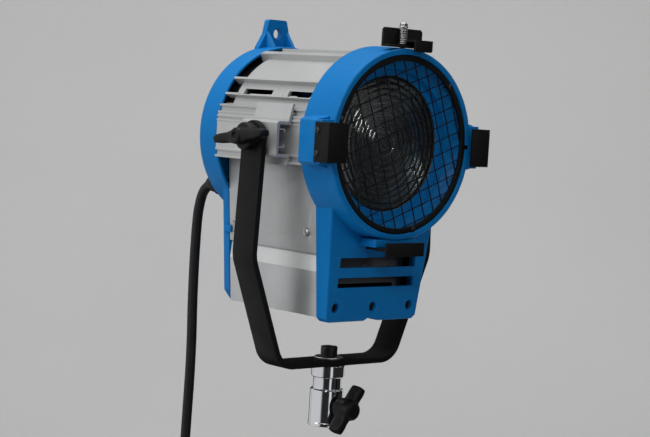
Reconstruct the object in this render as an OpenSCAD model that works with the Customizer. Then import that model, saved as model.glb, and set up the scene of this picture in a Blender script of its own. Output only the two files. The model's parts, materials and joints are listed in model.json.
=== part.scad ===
// Studio fresnel spotlight on a tilting yoke.
// Origin: centre of the spigot socket's mouth. +Z up, the beam leaves towards -Y.
// The lamp head is drawn in its own frame, whose origin is the centre of the
// front ring's front plane, and is then moved onto the tilt axis.

/* [Yoke and socket] */
// Height of the tilt axis above the socket mouth
pivot_h = 240; // [239:0.5:246]
// Width of the flat yoke bar
yoke_w = 26; // [22:1:28]
// Thickness of the flat yoke bar
yoke_t = 5; // [4:0.25:5]
// Distance from the centre plane to the yoke's outer face at the pivots
yoke_x = 97; // [97:0.5:99]
// How far the yoke arms lean outwards before they turn in
yoke_lean = 3; // [0:0.5:5]
// Outer bend radius where the arms meet the crossbar
yoke_bend_r = 22; // [12:1:26]
// Outer diameter of the stand socket
socket_d = 28; // [26:0.5:32]
// Diameter of the bore that takes the stand spigot
spigot_bore_d = 16.2; // [16.1:0.05:16.4]
// Depth of the spigot bore
spigot_depth = 42; // [30:1:43]

/* [Front casting] */
// Outer radius of the front ring at its front edge
ring_r = 77; // [76:0.25:77.5]
// Radius of the lens opening
lens_open_r = 55.2; // [52:0.1:56]
// Half width of the lower box at its top
box_top_w = 57; // [55:0.5:57.5]
// Half width of the lower box at its foot
box_foot_w = 50; // [48.5:0.25:50.5]
// Half length of the two front vent slots
vent_half = 42; // [30:1:43]
// Height of each front vent slot
vent_h = 8.2; // [5:0.1:8.5]

/* [Lens and guard] */
// Number of steps on the lens
lens_steps = 11; // [6:1:14]
// Spacing of the guard wires
guard_pitch = 11; // [9:0.5:16]
// Thickness of a guard wire
guard_wire = 1.4; // [1:0.1:1.8]
// Turn of the guard mesh about the optical axis
guard_turn = 20; // [0:1:45]

/* [Body] */
// Outer radius of the shell between its ribs
shell_r = 70.5; // [70:0.1:70.7]
// Wall thickness of the shell
shell_t = 2.5; // [1.5:0.1:2.8]
// Width of each cooling slot in the shell
shell_slot = 4.6; // [3:0.1:5]
// Radius of the rear drum
drum_r = 75.4; // [75:0.1:76.5]

/* [Clips and latch] */
// Half width of the two side clips
clip_half = 15.5; // [12:0.5:16]
// Half width of the spring latch
latch_half = 21.5; // [20:0.5:23]
// Number of turns in the latch spring
latch_turns = 8; // [5:1:9]

/* [Focus and lamp] */
// Radius of the focus knob
focus_r = 19; // [15:0.5:19.5]
// Radius of the reflector's sphere
reflector_r = 34; // [30:0.5:34.5]
// Lamp position behind the front plane at rest
lamp_y = 86; // [84:1:88]

/* [Mains lead] */
// Diameter of the mains lead
lead_d = 8.8; // [7:0.1:8.8]
// Length of the switch on the lead
switch_l = 56; // [50:1:64]

/* [Hidden] */
$fn = 96;

blue = "#1173BE"; silver = "#B9BCBA"; black = "#1B1B1C"; chrome = "#D5D7D8";
axis_y = 73.5;               // tilt axis behind the front plane
bar_z = 51.5;                // underside of the yoke's crossbar
bore_r = spigot_bore_d / 2;
pin_r = 4;                   // tilt pins
run = 0.06;                  // running clearance on a radius
box_slope = 7 / 82;          // how the box sides and front lean
shell_y0 = 36.3;
shell_y1 = 147;
skin_y1 = 138;               // the shell's skin stops short of the drum
panel_z0 = -20.4;
leg_y0 = 148;
leg_y1 = 156;
drum_y1 = 172.5;
focus_z = -104;
rod_x = 30;
lead_r = lead_d / 2;
lead_x = -45;
lead_y = 206;
gland_z = -46;
flex_z = -155;               // where the lead bends when the head tilts
switch_z = -306;             // centre of the switch
bolt_x = -3.5;               // latch bolt, left of the centre plane
clamp_z = 17;                // clamp screw above the socket mouth
guard_angles = [44.5, 164.5, 284.5];

// ---- placing helpers -----------------------------------------------------
module head() translate([0, -axis_y, pivot_h]) children();
module along_y(y0 = 0) translate([0, y0, 0]) rotate([-90, 0, 0]) children();
module along_x(x0 = 0) translate([x0, 0, 0]) rotate([0, 90, 0]) children();
// a flat shape drawn in X and Z, running from y0 to y1
module slab_y(y0, y1) translate([0, y1, 0]) rotate([90, 0, 0]) linear_extrude(y1 - y0) children();
// a flat shape drawn in Y and Z, running from x0 to x1
module slab_x(x0, x1) translate([x0, 0, 0]) rotate([90, 0, 90]) linear_extrude(x1 - x0) children();
module box(a, b) translate(a) cube(b - a);
module both() { children(); mirror([1, 0, 0]) children(); }
// a rod of radius r along Y at x, z
module rod_y(x, z, r, y0, y1) translate([x, y0, z]) rotate([-90, 0, 0]) cylinder(r = r, h = y1 - y0);
module rod_x_at(y, z, r, x0, x1) translate([x0, y, z]) rotate([0, 90, 0]) cylinder(r = r, h = x1 - x0);
module ring(r1, r0, h) difference() { cylinder(r = r1, h = h); translate([0, 0, -1]) cylinder(r = r0, h = h + 2); }

function unit(v) = v / norm(v);
function leftn(v) = [-v[1], v[0]];
// arc of points that rounds the corner b of the path a, b, c
function rounded(a, b, c, r, n = 10) =
  let (u = unit(a - b), v = unit(c - b), half = acos(u * v) / 2,
       m = b + unit(u + v) * r / sin(half), t = r / tan(half),
       s = b + u * t - m, e = b + v * t - m,
       a0 = atan2(s[1], s[0]), d0 = atan2(e[1], e[0]) - a0,
       d = d0 > 180 ? d0 - 360 : d0 < -180 ? d0 + 360 : d0)
  [for (i = [0:n]) m + r * [cos(a0 + d * i / n), sin(a0 + d * i / n)]];
// corner of a path moved sideways by t
function miter(a, b, c, t) =
  let (p = leftn(unit(b - a)), q = leftn(unit(c - b))) b + t * (p + q) / (1 + p * q);
function box_half(z) = box_top_w + (z + 60) * (box_top_w - box_foot_w) / 82;
function front_y(z) = 17 - (z + 60) * box_slope;

// ---- yoke, socket and pivots ----------------------------------------------
yk = [[yoke_x, pivot_h + 20], [yoke_x, pivot_h - 16], [yoke_x + yoke_lean, pivot_h - 97],
      [64.3, bar_z], [0, bar_z]];
yk_in = [yk[0] - [yoke_t, 0], miter(yk[0], yk[1], yk[2], -yoke_t), miter(yk[1], yk[2], yk[3], -yoke_t),
         miter(yk[2], yk[3], yk[4], -yoke_t), yk[4] + [0, yoke_t]];
yk_outer = concat([yk[0], yk[1]], rounded(yk[1], yk[2], yk[3], yoke_bend_r + 9), rounded(yk[2], yk[3], yk[4], yoke_bend_r));
yk_inner = concat(rounded(yk_in[4], yk_in[3], yk_in[2], yoke_bend_r - yoke_t),
  rounded(yk_in[3], yk_in[2], yk_in[1], yoke_bend_r + 9 - yoke_t), [yk_in[1], yk_in[0]]);
function flipped(path) = [for (i = [len(path) - 1:-1:0]) [-path[i][0], path[i][1]]];
module yoke_outline() polygon(concat(yk_outer, flipped(yk_outer), flipped(yk_inner), yk_inner));

module yoke() color(black) difference() {
  intersection() {
    slab_y(-yoke_w / 2, yoke_w / 2) yoke_outline();
    slab_x(-120, 120) union() {
      translate([0, pivot_h]) circle(r = yoke_w / 2);
      translate([-yoke_w / 2, 0]) square([yoke_w, pivot_h]);
    }
  }
  rod_x_at(0, pivot_h, pin_r + run, -130, 130);
  translate([0, 0, bar_z - 5]) cylinder(r = 5.3, h = 20);
}

module socket() color(chrome) difference() {
  rotate_extrude() polygon([[bore_r, 0], [socket_d / 2 + 0.4, 0], [socket_d / 2 + 0.4, 2.6], [socket_d / 2, 3.2],
    [socket_d / 2, 30.2], [socket_d / 2 - 0.8, 31], [11.8, 31], [11.8, 41], [socket_d / 2 - 0.8, 41],
    [socket_d / 2, 41.8], [socket_d / 2, bar_z - 0.8], [socket_d / 2 - 0.8, bar_z], [5.06, bar_z],
    [5.06, spigot_depth], [bore_r, spigot_depth]]);
  translate([0, 0, clamp_z]) rotate([90, 0, 0]) cylinder(r = 4 + run, h = 30);
}

module socket_bolt() color(black) difference() {
  union() {
    translate([0, 0, spigot_depth + 1.5]) cylinder(r = 5, h = bar_z + yoke_t + 1.5 - spigot_depth - 1.5);
    translate([0, 0, bar_z + yoke_t + 1.5]) cylinder(r = 7, h = 8.5);
  }
  translate([0, 0, bar_z + yoke_t + 5]) cylinder(r = 3.4, h = 20, $fn = 6);
}
module socket_washer() color(chrome) translate([0, 0, bar_z + yoke_t]) ring(12, 5.3, 1.5);

// knob with two wings; its axis is +Z and its back face is at z = 0
module wing_knob(hub_r, hub_h, span, tip_z, blade, tip, bore, depth, collar = 1) difference() {
  union() {
    cylinder(r = hub_r, h = hub_h * collar);
    for (s = [-1, 1]) hull() {
      translate([s * hub_r * 0.45, 0, hub_h * 0.5]) cylinder(r = blade * 0.62, h = hub_h * 0.92, center = true, $fn = 32);
      translate([s * (span - tip), 0, tip_z]) sphere(r = tip, $fn = 32);
      translate([s * (span - tip), 0, tip_z - hub_h * 0.3]) sphere(r = tip * 0.84, $fn = 32);
    }
  }
  translate([0, 0, -1]) cylinder(r = bore, h = depth + 1);
}
module socket_clamp_knob() color(black) translate([0, -17.5, clamp_z]) rotate([90, 0, 0])
  rotate([0, 0, 55]) wing_knob(9, 18, 21.5, 11, 9, 4.5, 4.02, 12);
module socket_clamp_stud() color("silver") translate([0, -bore_r - 0.4, clamp_z]) rotate([90, 0, 0])
  cylinder(r = 4, h = 29.4 - bore_r - 0.4);

module tilt_lock_knob() color(black) translate([-yoke_x - 1.6, 0, pivot_h]) rotate([0, -90, 0])
  rotate([0, 0, 98]) wing_knob(11, 16.5, 30.5, 11.5, 11, 3.4, 4.02, 12, 0.48);
module tilt_lock_stud() color("silver") rod_x_at(0, pivot_h, pin_r, -yoke_x - 13.4, -80.4);
module pivot_bolt() color(black) difference() {
  union() {
    rod_x_at(0, pivot_h, pin_r, 80.4, yoke_x + 2);
    rod_x_at(0, pivot_h, 8, yoke_x + 1.6, yoke_x + 8);
  }
  translate([yoke_x + 4, 0, pivot_h]) rotate([0, 90, 0]) cylinder(r = 3.5, h = 10, $fn = 6);
}
module pivot_washers() color("silver") both() translate([yoke_x, 0, pivot_h]) rotate([0, 90, 0]) ring(9.5, 4.2, 1.6);
module friction_washers() color("#3A3A38") both() translate([90.05, 0, pivot_h]) rotate([0, 90, 0])
  ring(11.5, 4.2, yoke_x - yoke_t - 90.1);
module pivot_nuts() color("silver") both() translate([0, 0, pivot_h]) difference() {
  box([82.8, -9, -6.3], [87.45, 9, 6.3]);
  rod_x_at(0, 0, pin_r + run, 80, 90);
}

// side bracket: an open aluminium section that hooks onto the shell's rails
module bracket_profile() {
  polygon([[75.7, -21.5], [78, -21.5], [78, -15], [88.5, -15], [90, -13.5], [90, 12], [88.5, 13.5],
    [78, 13.5], [78, 15.5], [74.8, 27.5], [72.4, 27.5], [74.2, 20.8], [72.4, 20.8], [72.4, 19], [74.6, 19],
    [75.7, 15], [75.7, 11], [87.5, 11], [87.5, 7.6], [81.5, 7.6], [81.5, 4.9], [82.5, 4.9], [82.5, 6.6],
    [87.5, 6.6], [87.5, -6.6], [82.5, -6.6], [82.5, -4.9], [81.5, -4.9], [81.5, -7.6], [87.5, -7.6],
    [87.5, -12.5], [75.7, -12.5], [75.7, -15.6], [74, -15.6], [74, -17.2], [75.7, -17.2]]);
}
module tilt_bracket() head() difference() {
  slab_y(51, 95) bracket_profile();
  rod_x_at(axis_y, 0, pin_r + run, 85, 95);
}
module tilt_bracket_right() color(silver) tilt_bracket();
module tilt_bracket_left() color(silver) mirror([1, 0, 0]) tilt_bracket();

// ---- front casting, lens and guard -----------------------------------------
module box_outline(inset, top, foot) polygon([[-box_half(top) + inset, top], [-box_half(-142) + inset, -142.3 + (foot ? 0 : 1)],
  [-46 + inset / 2, foot ? -145.3 : -142.2], [-8, foot ? -145.3 : -142.2], [-4, foot ? -143.2 : -142.2],
  [4, foot ? -143.2 : -142.2], [8, foot ? -145.3 : -142.2], [46 - inset / 2, foot ? -145.3 : -142.2],
  [box_half(-142) - inset, -142.3 + (foot ? 0 : 1)], [box_half(top) - inset, top]]);
// everything behind the leaning front face, set back by d
module behind_front(d, y1) slab_x(-90, 90)
  polygon([[front_y(-30) + d, -30], [front_y(-150) + d, -150], [y1, -150], [y1, -30]]);

module front_casting() color(blue) head() difference() {
  union() {
    along_y() rotate_extrude() polygon([[72.2, 0], [ring_r - 0.9, 0], [ring_r, 0.9], [ring_r + 0.3, 8],
      [78.3, 32], [78.3, 35.4], [77.7, 36], [71, 36], [71, 31], [75, 31], [75, 9], [71.5, 9], [65.2, 15.6],
      [63, 15.6], [63, 21.2], [61, 21.2], [61, 31], [58.3, 31], [58.3, 20], [lens_open_r, 20],
      [lens_open_r, 18.6], [60, 18.6], [60.6, 13], [63.4, 13], [69.8, 6.4], [69.8, 5], [72.2, 5]]);
    difference() {
      intersection() { slab_y(5, 36) box_outline(0, -44, true); behind_front(0, 40); }
      along_y(-1) cylinder(r = 71.4, h = 40);
    }
    // screw bosses behind the front face
    intersection() {
      for (x = [-41, 0, 41]) rod_y(x, -133.6, 5.6, 20, 30);
      behind_front(0, 40);
    }
    // side lugs for the accessory clips
    both() difference() {
      union() {
        box([66, 1, -17.5], [87.4, 6.6, 17.5]);
        slab_y(6.5, 26) polygon([[66, -22], [85.5, -18.3], [88.6, -16.5], [88.6, 16.5], [85.5, 18.3], [66, 22]]);
      }
      along_y(-1) cylinder(r = 73.5, h = 40);
    }
    // pad for the bottom clip
    box([-23, 1, -82.6], [23, 24, -76.2]);
  }
  // hollow of the lower box
  difference() {
    intersection() { slab_y(5, 40) box_outline(3, -62, false); behind_front(3, 40); }
    for (x = [-41, 0, 41]) rod_y(x, -133.6, 5.6, 20, 30);
    box([-23, 14, -91], [23, 24, -74]);
    along_y(-1) cylinder(r = 62.5, h = 40);
  }
  // vent slots
  for (z = [-96.8, -113.1]) box([-vent_half, 8, z - vent_h / 2], [vent_half, 30, z + vent_h / 2]);
  // recessed screw holes
  for (x = [-41, 0, 41]) { rod_y(x, -133.6, 3.9, 10, 27.9); rod_y(x, -133.6, 2.2, 20, 31); }
  // guard screws, clip screws and the latch bolt
  for (a = guard_angles) rotate([0, -a, 0]) rod_y(69.9, 0, 1.27, 3, 8.6);
  both() for (z = [-9, 9]) rod_x_at(3.4, z, 1.52, 80, 90);
  for (x = [-13, 13]) translate([x, 7, -84]) cylinder(r = 1.52, h = 6.4);
  // notch for the guard ring's tab
  box([71.5, -1, -1.8], [75.4, 3.4, 1.8]);
  translate([bolt_x, 4.6, 73.4]) cylinder(r = 2.02, h = 10);
}

lens_pitch = (lens_open_r - 0.4) / lens_steps;
module lens() color("#DDE6E8", 0.5) head() along_y() rotate_extrude() polygon(concat(
  [[0, 26.4], [58, 26.4], [58, 21], [lens_open_r, 21]],
  [for (i = [lens_steps - 1:-1:0]) each [[lens_pitch * (i + 1), 23.6], [lens_pitch * (i + 0.12), 21.2 + (i % 2) * 0.2]]],
  [[0, 21.2]]));
module lens_retainer() color("silver") head() along_y(26.5) ring(58.1, 54.6, 2);

module guard_ring() color(black) head() difference() {
  union() {
    along_y(0.6) ring(71.6, 66.6, 2.8);
    box([70.5, 0.6, -1.5], [75, 3.1, 1.5]);
  }
  for (a = guard_angles) rotate([0, -a, 0]) rod_y(69.9, 0, 1.4, 0, 5);
}
module guard_mesh() color(black) head() difference() {
  slab_y(3.5, 3.5 + guard_wire) union() {
    intersection() {
      circle(r = 70.5);
      rotate(guard_turn) for (i = [-7:7]) {
        translate([i * guard_pitch - guard_wire / 2, -80]) square([guard_wire, 160]);
        translate([-80, i * guard_pitch - guard_wire / 2]) square([160, guard_wire]);
      }
    }
    difference() { circle(r = 71); circle(r = 67.2); }
  }
  for (a = guard_angles) rotate([0, -a, 0]) rod_y(69.9, 0, 1.4, 0, 8);
}
module guard_screws() color("silver") head() for (a = guard_angles) rotate([0, -a, 0]) union() {
  rod_y(69.9, 0, 1.25, 0.5, 8.5);
  rod_y(69.9, 0, 2.2, -0.7, 0.6);
}

// ---- accessory clips ---------------------------------------------------------
module side_clip() head() difference() {
  union() {
    box([69.5, -10, -clip_half], [89.5, -8, clip_half]);
    box([87.45, -9, -clip_half], [89.5, 6.4, clip_half]);
  }
  for (z = [-9, 9]) rod_x_at(3.4, z, 1.6, 80, 95);
}
module clip_right() color(black) side_clip();
module clip_left() color(black) mirror([1, 0, 0]) side_clip();
module clip_bottom() color(black) head() difference() {
  union() {
    box([-21, -10, -89], [21, -8, -78]);
    box([-21, -9, -84.8], [21, 14, -82.65]);
  }
  for (x = [-13, 13]) translate([x, 7, -92]) cylinder(r = 1.6, h = 10);
}
module clip_screws() color("#2A2A2A") head() {
  both() for (z = [-9, 9]) {
    rod_x_at(3.4, z, 1.5, 82, 89.6);
    rod_x_at(3.4, z, 2.6, 89.52, 90.6);
  }
  for (x = [-13, 13]) translate([x, 7, 0]) {
    translate([0, 0, -85.3]) cylinder(r = 1.5, h = 7.3);
    translate([0, 0, -86.2]) cylinder(r = 2.7, h = 1.38);
  }
}

// spring latch: slides up to let an accessory in
module top_latch() color(black) head() difference() {
  union() {
    slab_y(8.3, 10.4) polygon([[-latch_half, 77.8], [latch_half, 77.8], [latch_half, 91.2], [latch_half - 1.8, 93],
      [-latch_half + 1.8, 93], [-latch_half, 91.2]]);
    box([-latch_half, 0.6, 77.7], [latch_half, 10.4, 79.5]);
    box([-3, -10, 82.2], [16, 10.4, 84]);
    slab_y(-10, -8) polygon([[-3, 74.7], [14.8, 74.7], [16, 75.9], [16, 84], [-3, 84]]);
    box([12, -8.5, 78], [16, 10.4, 84]);
  }
  translate([bolt_x, 4.6, 70]) cylinder(r = 2.1, h = 20);
  // room for the spring
  translate([bolt_x, 4.6, 79.5]) cylinder(r = 4.1, h = 30);
}
module latch_bolt() color("silver") head() translate([bolt_x, 4.6, 0]) {
  translate([0, 0, 73.6]) cylinder(r = 2, h = 22);
  translate([0, 0, 93.3]) cylinder(r = 3.7, h = 1);
  translate([0, 0, 94.3]) cylinder(r = 3.3, h = 2.9, $fn = 6);
}
spring_z0 = 79.65; spring_h = 13.5;
module latch_spring() color("silver") head() translate([bolt_x, 4.6, spring_z0]) intersection() {
  linear_extrude(height = spring_h, twist = -360 * latch_turns, slices = 16 * latch_turns, convexity = 10, $fn = 10)
    translate([3, 0]) circle(r = 0.5, $fn = 10);
  translate([0, 0, -0.1]) cylinder(r = 5, h = spring_h + 0.2);
}

// ---- body ----------------------------------------------------------------------
// one side's rails, outside the round wall
module rails() polygon([[60, -20.2], [75.5, -20.2], [75.5, -18.4], [73.2, -18.4], [73.2, -14.4], [75.4, -14.4],
  [75.4, -12.7], [75, -12.2], [75, 9.6], [75.4, 10], [75.4, 11.4], [74.2, 11.8], [74.2, 13], [75.4, 13.4],
  [75.4, 14.8], [74.2, 15.2], [74.2, 16.4], [74.6, 16.8], [74.6, 18.2], [71.2, 18.2], [71.2, 22.3],
  [73, 22.3], [73.1, 23.7], [69.5, 24.2], [66.4, 24.4], [66, 10]]);
module rib(a, w, tip) rotate(a) translate([shell_r - 1.5, -w / 2]) square([tip - shell_r + 1.5, w]);
module body_shell() color(silver) head() difference() {
  slab_y(shell_y0, shell_y1) difference() {
    union() {
      intersection() { circle(r = shell_r); translate([-80, -20.2]) square([160, 100]); }
      for (m = [0, 1]) mirror([m, 0]) {
        rails();
        rib(26, 1.8, 75.4);
        rib(38, 2, 75.4);
        rib(66.7, 6, 75.4);
        translate([57, -20.2]) square([10, 2]);
      }
      translate([-16, 60]) square([32, 13.4]);
    }
    difference() {
      circle(r = shell_r - shell_t);
      for (m = [0, 1]) mirror([m, 0]) translate([57, -20.2]) square([10, 2]);
    }
    for (m = [0, 1]) mirror([m, 0]) translate([71.3, -8.5]) square([2, 16.5]);
  }
  // the skin between the ribs stops short of the drum
  slab_y(skin_y1, shell_y1 + 1) for (m = [0, 1]) mirror([m, 0]) {
    difference() {
      intersection() {
        circle(r = 80);
        polygon([[0, 0], [90, 33.9], [90, 90], [0, 90]]);
      }
      rotate(26) translate([0, -0.9]) square([90, 1.8]);
      rotate(38) translate([0, -1]) square([90, 2]);
      rotate(66.7) translate([0, -3]) square([90, 6]);
    }
  }
  // cooling slots
  both() {
    box([50, 94, 33], [80, 130, 33 + shell_slot]);
    box([50, 40, 33], [80, 74, 33 + shell_slot]);
  }
}
module vent_baffle() color("#141414") head() slab_y(128, 168) difference() {
  intersection() { circle(r = 67.2); translate([-80, -17]) square([160, 100]); }
  circle(r = 66);
}

module panel_profile() polygon([[box_half(-20), panel_z0], [box_half(-90.5), -90.5], [box_half(-90.5) - 2.2, -91.4],
  [box_half(-90.5) - 2.2, -92.4], [box_half(-105), -105], [box_half(-142), -142], [box_half(-142) - 2, -142],
  [box_half(-105) - 2, -105.4], [box_half(-90.5) - 4.2, -92.8], [box_half(-90.5) - 4.2, -89.6],
  [box_half(-88) - 2, -88.2], [box_half(-20) - 2, panel_z0]]);
module side_panel() head() difference() {
  slab_y(36.15, 146.9) panel_profile();
  for (y = [47, 138]) rod_x_at(y, -74.2, 2.05, 50, 65);
}
module side_panel_right() color(silver) side_panel();
module side_panel_left() color(silver) mirror([1, 0, 0]) side_panel();
module panel_screws() color("silver") head() both() for (y = [47, 138]) {
  rod_x_at(y, -74.2, 2, 49, box_half(-74.2) + 0.9);
  rod_x_at(y, -74.2, 3.3, box_half(-74.2) + 0.35, box_half(-74.2) + 2.2);
}

module bottom_plate() color("#3C3D3E") head() difference() {
  union() {
    box([-44.3, 30.1, -142.1], [44.3, 37, -140.5]);
    box([-46.5, 36.3, -142.1], [46.5, 147.8, -140.5]);
    box([-44.3, 30.1, -141], [44.3, 31.9, -127]);
    box([-46.2, 146, -141], [46.2, 147.8, -124]);
  }
  for (x = [-41, 0, 41]) rod_y(x, -133.6, 2.03, 25, 35);
  for (x = [-36, 36]) rod_y(x, -131, 2.03, 140, 150);
  for (y = [50:11:116]) box([-32, y, -144], [32, y + 4, -138]);
}
module front_screws() color("#2A2A2A") head() for (x = [-41, 0, 41]) difference() {
  union() {
    rod_y(x, -133.6, 2, 27.5, 36);
    rod_y(x, -133.6, 3.5, 25.8, 27.88);
  }
  translate([x, 24.9, -133.6]) rotate([-90, 0, 0]) cylinder(r = 1.7, h = 2.2, $fn = 6);
}

// ---- rear cover -------------------------------------------------------------------
module leg_outline(inset) polygon([[-box_half(-40) + inset, -40], [-box_half(-134) + inset, -134],
  [-44 + inset / 2, -142 + inset], [44 - inset / 2, -142 + inset], [box_half(-134) - inset, -134], [box_half(-40) - inset, -40]]);
module rear_cover() color(blue) head() difference() {
  union() {
    along_y() rotate_extrude() polygon([[73.2, leg_y0 - 1], [drum_r - 0.6, leg_y0 - 1], [drum_r, leg_y0 - 0.4],
      [drum_r, drum_y1 - 4.5], [drum_r - 1.3, drum_y1 - 1.4], [drum_r - 4.4, drum_y1], [54.6, drum_y1],
      [54.6, drum_y1 - 2.2], [50, drum_y1 - 2.2], [50, drum_y1 - 4.2], [68.2, drum_y1 - 4.2], [71.8, drum_y1 - 8], [71.8, 152]]);
    slab_y(leg_y0, leg_y1) difference() {
      leg_outline(0);
      circle(r = 71.9);
    }
    both() {
      box([box_half(-81) + 0.4, 143, -84], [box_half(-81) + 2.4, 152, -78]);
      box([box_half(-81) - 2.5, leg_y0, -84], [box_half(-81) + 2.4, 152, -78]);
    }
    for (x = [-rod_x, rod_x]) rod_y(x, focus_z, 6, 149, leg_y1);
    rod_y(0, focus_z, 9, 149, leg_y1);
    for (x = [-36, 36]) rod_y(x, -131, 5, 149, leg_y1);
    // safety lug with its two gussets
    slab_y(164.6, 170.4) difference() {
      polygon([[-21, 71], [-20, 74.5], [-13, 86], [-10.8, 97], [-9, 98.5], [8.4, 98.5], [9.8, 97], [12.8, 86], [20, 74.5], [21, 71]]);
      circle(r = 70);
    }
    for (x = [-12.5, 9.5]) slab_x(x, x + 3) polygon([[152, 72.8], [170, 72.8], [170, 88], [164.6, 88]]);
  }
  // hollow of the leg
  difference() {
    slab_y(leg_y0 - 1, leg_y1 - 3) difference() { leg_outline(3); circle(r = 75.2); }
    for (x = [-rod_x, rod_x]) rod_y(x, focus_z, 6, 140, 160);
    rod_y(0, focus_z, 9, 140, 160);
    for (x = [-36, 36]) rod_y(x, -131, 5, 140, 160);
  }
  for (x = [-rod_x, rod_x]) rod_y(x, focus_z, 3.02, 140, leg_y1 - 2);
  rod_y(0, focus_z, 4 + run, 140, 165);
  for (x = [-36, 36]) rod_y(x, -131, 2.2, 140, 165);
  rod_y(lead_x, gland_z, 6.03, 160, 180);
  rod_y(0, 86.5, 4.5, 160, 175);
}
module rear_grille() color(black) head() difference() {
  along_y(drum_y1 - 2.15) cylinder(r = 54.4, h = 1.9);
  for (z = [-40:8:40]) {
    w = sqrt(48 * 48 - z * z) - 3;
    box([-w, drum_y1 - 5, z - 1.6], [w, drum_y1 + 2, z + 1.6]);
  }
}
module rear_screws() color("#2A2A2A") head() for (x = [-36, 36]) {
  rod_y(x, -131, 2, 144, leg_y1 + 0.1);
  rod_y(x, -131, 3.6, leg_y1 + 0.02, leg_y1 + 2.2);
}

// ---- mains lead -----------------------------------------------------------------------
module cable_gland() color("#3A3B3C") head() translate([lead_x, 0, gland_z]) along_y() rotate_extrude()
  polygon([[lead_r + 0.03, 166], [6, 166], [6, drum_y1 + 0.02], [8.8, drum_y1 + 0.02], [8.8, 176], [7.2, 176.8],
    [6.8, 184], [5.6, 190], [lead_r + 0.03, 190]]);
module lead_upper() color(black) head() translate([lead_x, 0, 0]) {
  rod_y(0, gland_z, lead_r, 160, lead_y - 16);
  translate([0, lead_y - 16, gland_z - 16]) rotate([90, 0, 90]) rotate_extrude(angle = 90) translate([16, 0]) circle(r = lead_r);
  translate([0, lead_y, flex_z + lead_r + 0.25]) cylinder(r = lead_r, h = gland_z - 16 - flex_z - lead_r - 0.25);
}
module lead_lower() color(black) head() translate([lead_x, lead_y, 0]) {
  rod_x_at(0, flex_z, lead_r, -lead_r * 0.6, lead_r * 0.6);
  translate([0, 0, switch_z - switch_l / 2 + 46]) cylinder(r = lead_r, h = flex_z - switch_z + switch_l / 2 - 46);
  translate([0, 0, switch_z - switch_l / 2 - 14]) cylinder(r = lead_r, h = 26);
}
// body of the switch; the rocker turns in its front half
module switch_block(y0, y1) head() translate([lead_x, lead_y, switch_z]) difference() {
  slab_y(y0, y1) polygon([[-11, -switch_l / 2 + 5], [-7, -switch_l / 2], [7, -switch_l / 2], [11, -switch_l / 2 + 5],
    [11, switch_l / 2 - 5], [7, switch_l / 2], [-7, switch_l / 2], [-11, switch_l / 2 - 5]]);
  box([-4.8, -20, -9.5], [4.8, 7, 9.5]);
  rod_x_at(-2.5, 0, 1.26, -7.2, 7.2);
  translate([0, 0, 46 - switch_l / 2]) translate([0, 0, -0.1]) cylinder(r = lead_r + 0.02, h = 60);
  translate([0, 0, -switch_l / 2 + 12.1 - 60]) cylinder(r = lead_r + 0.02, h = 60);
}
module switch_case_front() color(black) switch_block(-9, -0.02);
module switch_case_back() color(black) switch_block(0, 9);
module switch_rocker() color("#8E1B16") head() translate([lead_x, lead_y, switch_z]) difference() {
  union() {
    intersection() {
      rod_x_at(-2.5, 0, 8.2, -4.5, 4.5);
      box([-5, -10.7, -8.2], [5, 2, 8.2]);
    }
    rod_x_at(-2.5, 0, 1.2, -7, 7);
  }
  slab_x(-5, 5) polygon([[-11, -0.2], [-9.6, -0.2], [-8.6, -9], [-11, -9]]);
}

// ---- focus drive and lamp ---------------------------------------------------------------
module rod_bracket() color("#3C3D3E") head() difference() {
  slab_y(38, 39.6) polygon([[-44, -140.4], [44, -140.4], [44, -92], [36, -84], [-36, -84], [-44, -92]]);
  for (x = [-rod_x, rod_x]) rod_y(x, focus_z, 3.02, 30, 45);
  rod_y(0, focus_z, 4 + run, 30, 45);
  box([-34, 30, -134], [34, 45, -116]);
}
module guide_rods() color("silver") head() for (x = [-rod_x, rod_x]) rod_y(x, focus_z, 3, 36.8, leg_y1 - 2.1);
module focus_spindle() color("silver") head() {
  rod_y(0, focus_z, 4, 36.8, 170);
  // collars that keep the spindle in place
  rod_y(0, focus_z, 6.5, 39.7, 42);
}
module focus_knob() color(black) head() difference() {
  union() {
    rod_y(0, focus_z, 10, leg_y1 + 0.4, 162);
    translate([0, 161, focus_z]) rotate([-90, 0, 0]) linear_extrude(13) difference() {
      circle(r = focus_r);
      for (i = [0:17]) rotate(i * 20) translate([focus_r + 0.9, 0]) circle(r = 1.9, $fn = 24);
    }
    rod_y(0, focus_z, focus_r - 3, 173, 175.4);
  }
  rod_y(0, focus_z, 4.02, 150, 170.2);
}
module lamp_carriage() color("#55585A") head() translate([0, lamp_y, 0]) difference() {
  union() {
    box([-38, -12, -112], [38, 12, -96]);
    box([-14, 4, -97], [14, 7, -57]);
    box([-18, -13, -58.4], [18, 13, -56]);
  }
  for (x = [-rod_x, rod_x]) rod_y(x, focus_z, 3 + run, -20, 20);
  rod_y(0, focus_z, 7.03, -20, 20);
}
module carriage_nut() color("#B08D3C") head() translate([0, lamp_y, 0]) difference() {
  union() { rod_y(0, focus_z, 7, -11.9, 11.9); rod_y(0, focus_z, 9.5, -14, -12.02); rod_y(0, focus_z, 7, -12.1, -11.8); }
  rod_y(0, focus_z, 4 + run, -20, 20);
}
module lamp_holder() color("#E8E4DA") head() translate([0, lamp_y, 0]) difference() {
  box([-16, -11, -55.98], [16, 11, -40]);
  for (x = [-5, 5]) translate([x, 0, -52]) cylinder(r = 1.6, h = 20);
}
module lamp_base() color("#E8E4DA") head() translate([0, lamp_y, 0]) difference() {
  box([-12, -6, -39.98], [12, 6, -28]);
  for (x = [-5, 5]) translate([x, 0, -42]) cylinder(r = 1.52, h = 6);
  box([-8, -2.6, -31], [8, 2.6, -27]);
}
module lamp_pins() color("silver") head() translate([0, lamp_y, 0])
  for (x = [-5, 5]) translate([x, 0, -50]) cylinder(r = 1.5, h = 14);
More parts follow.
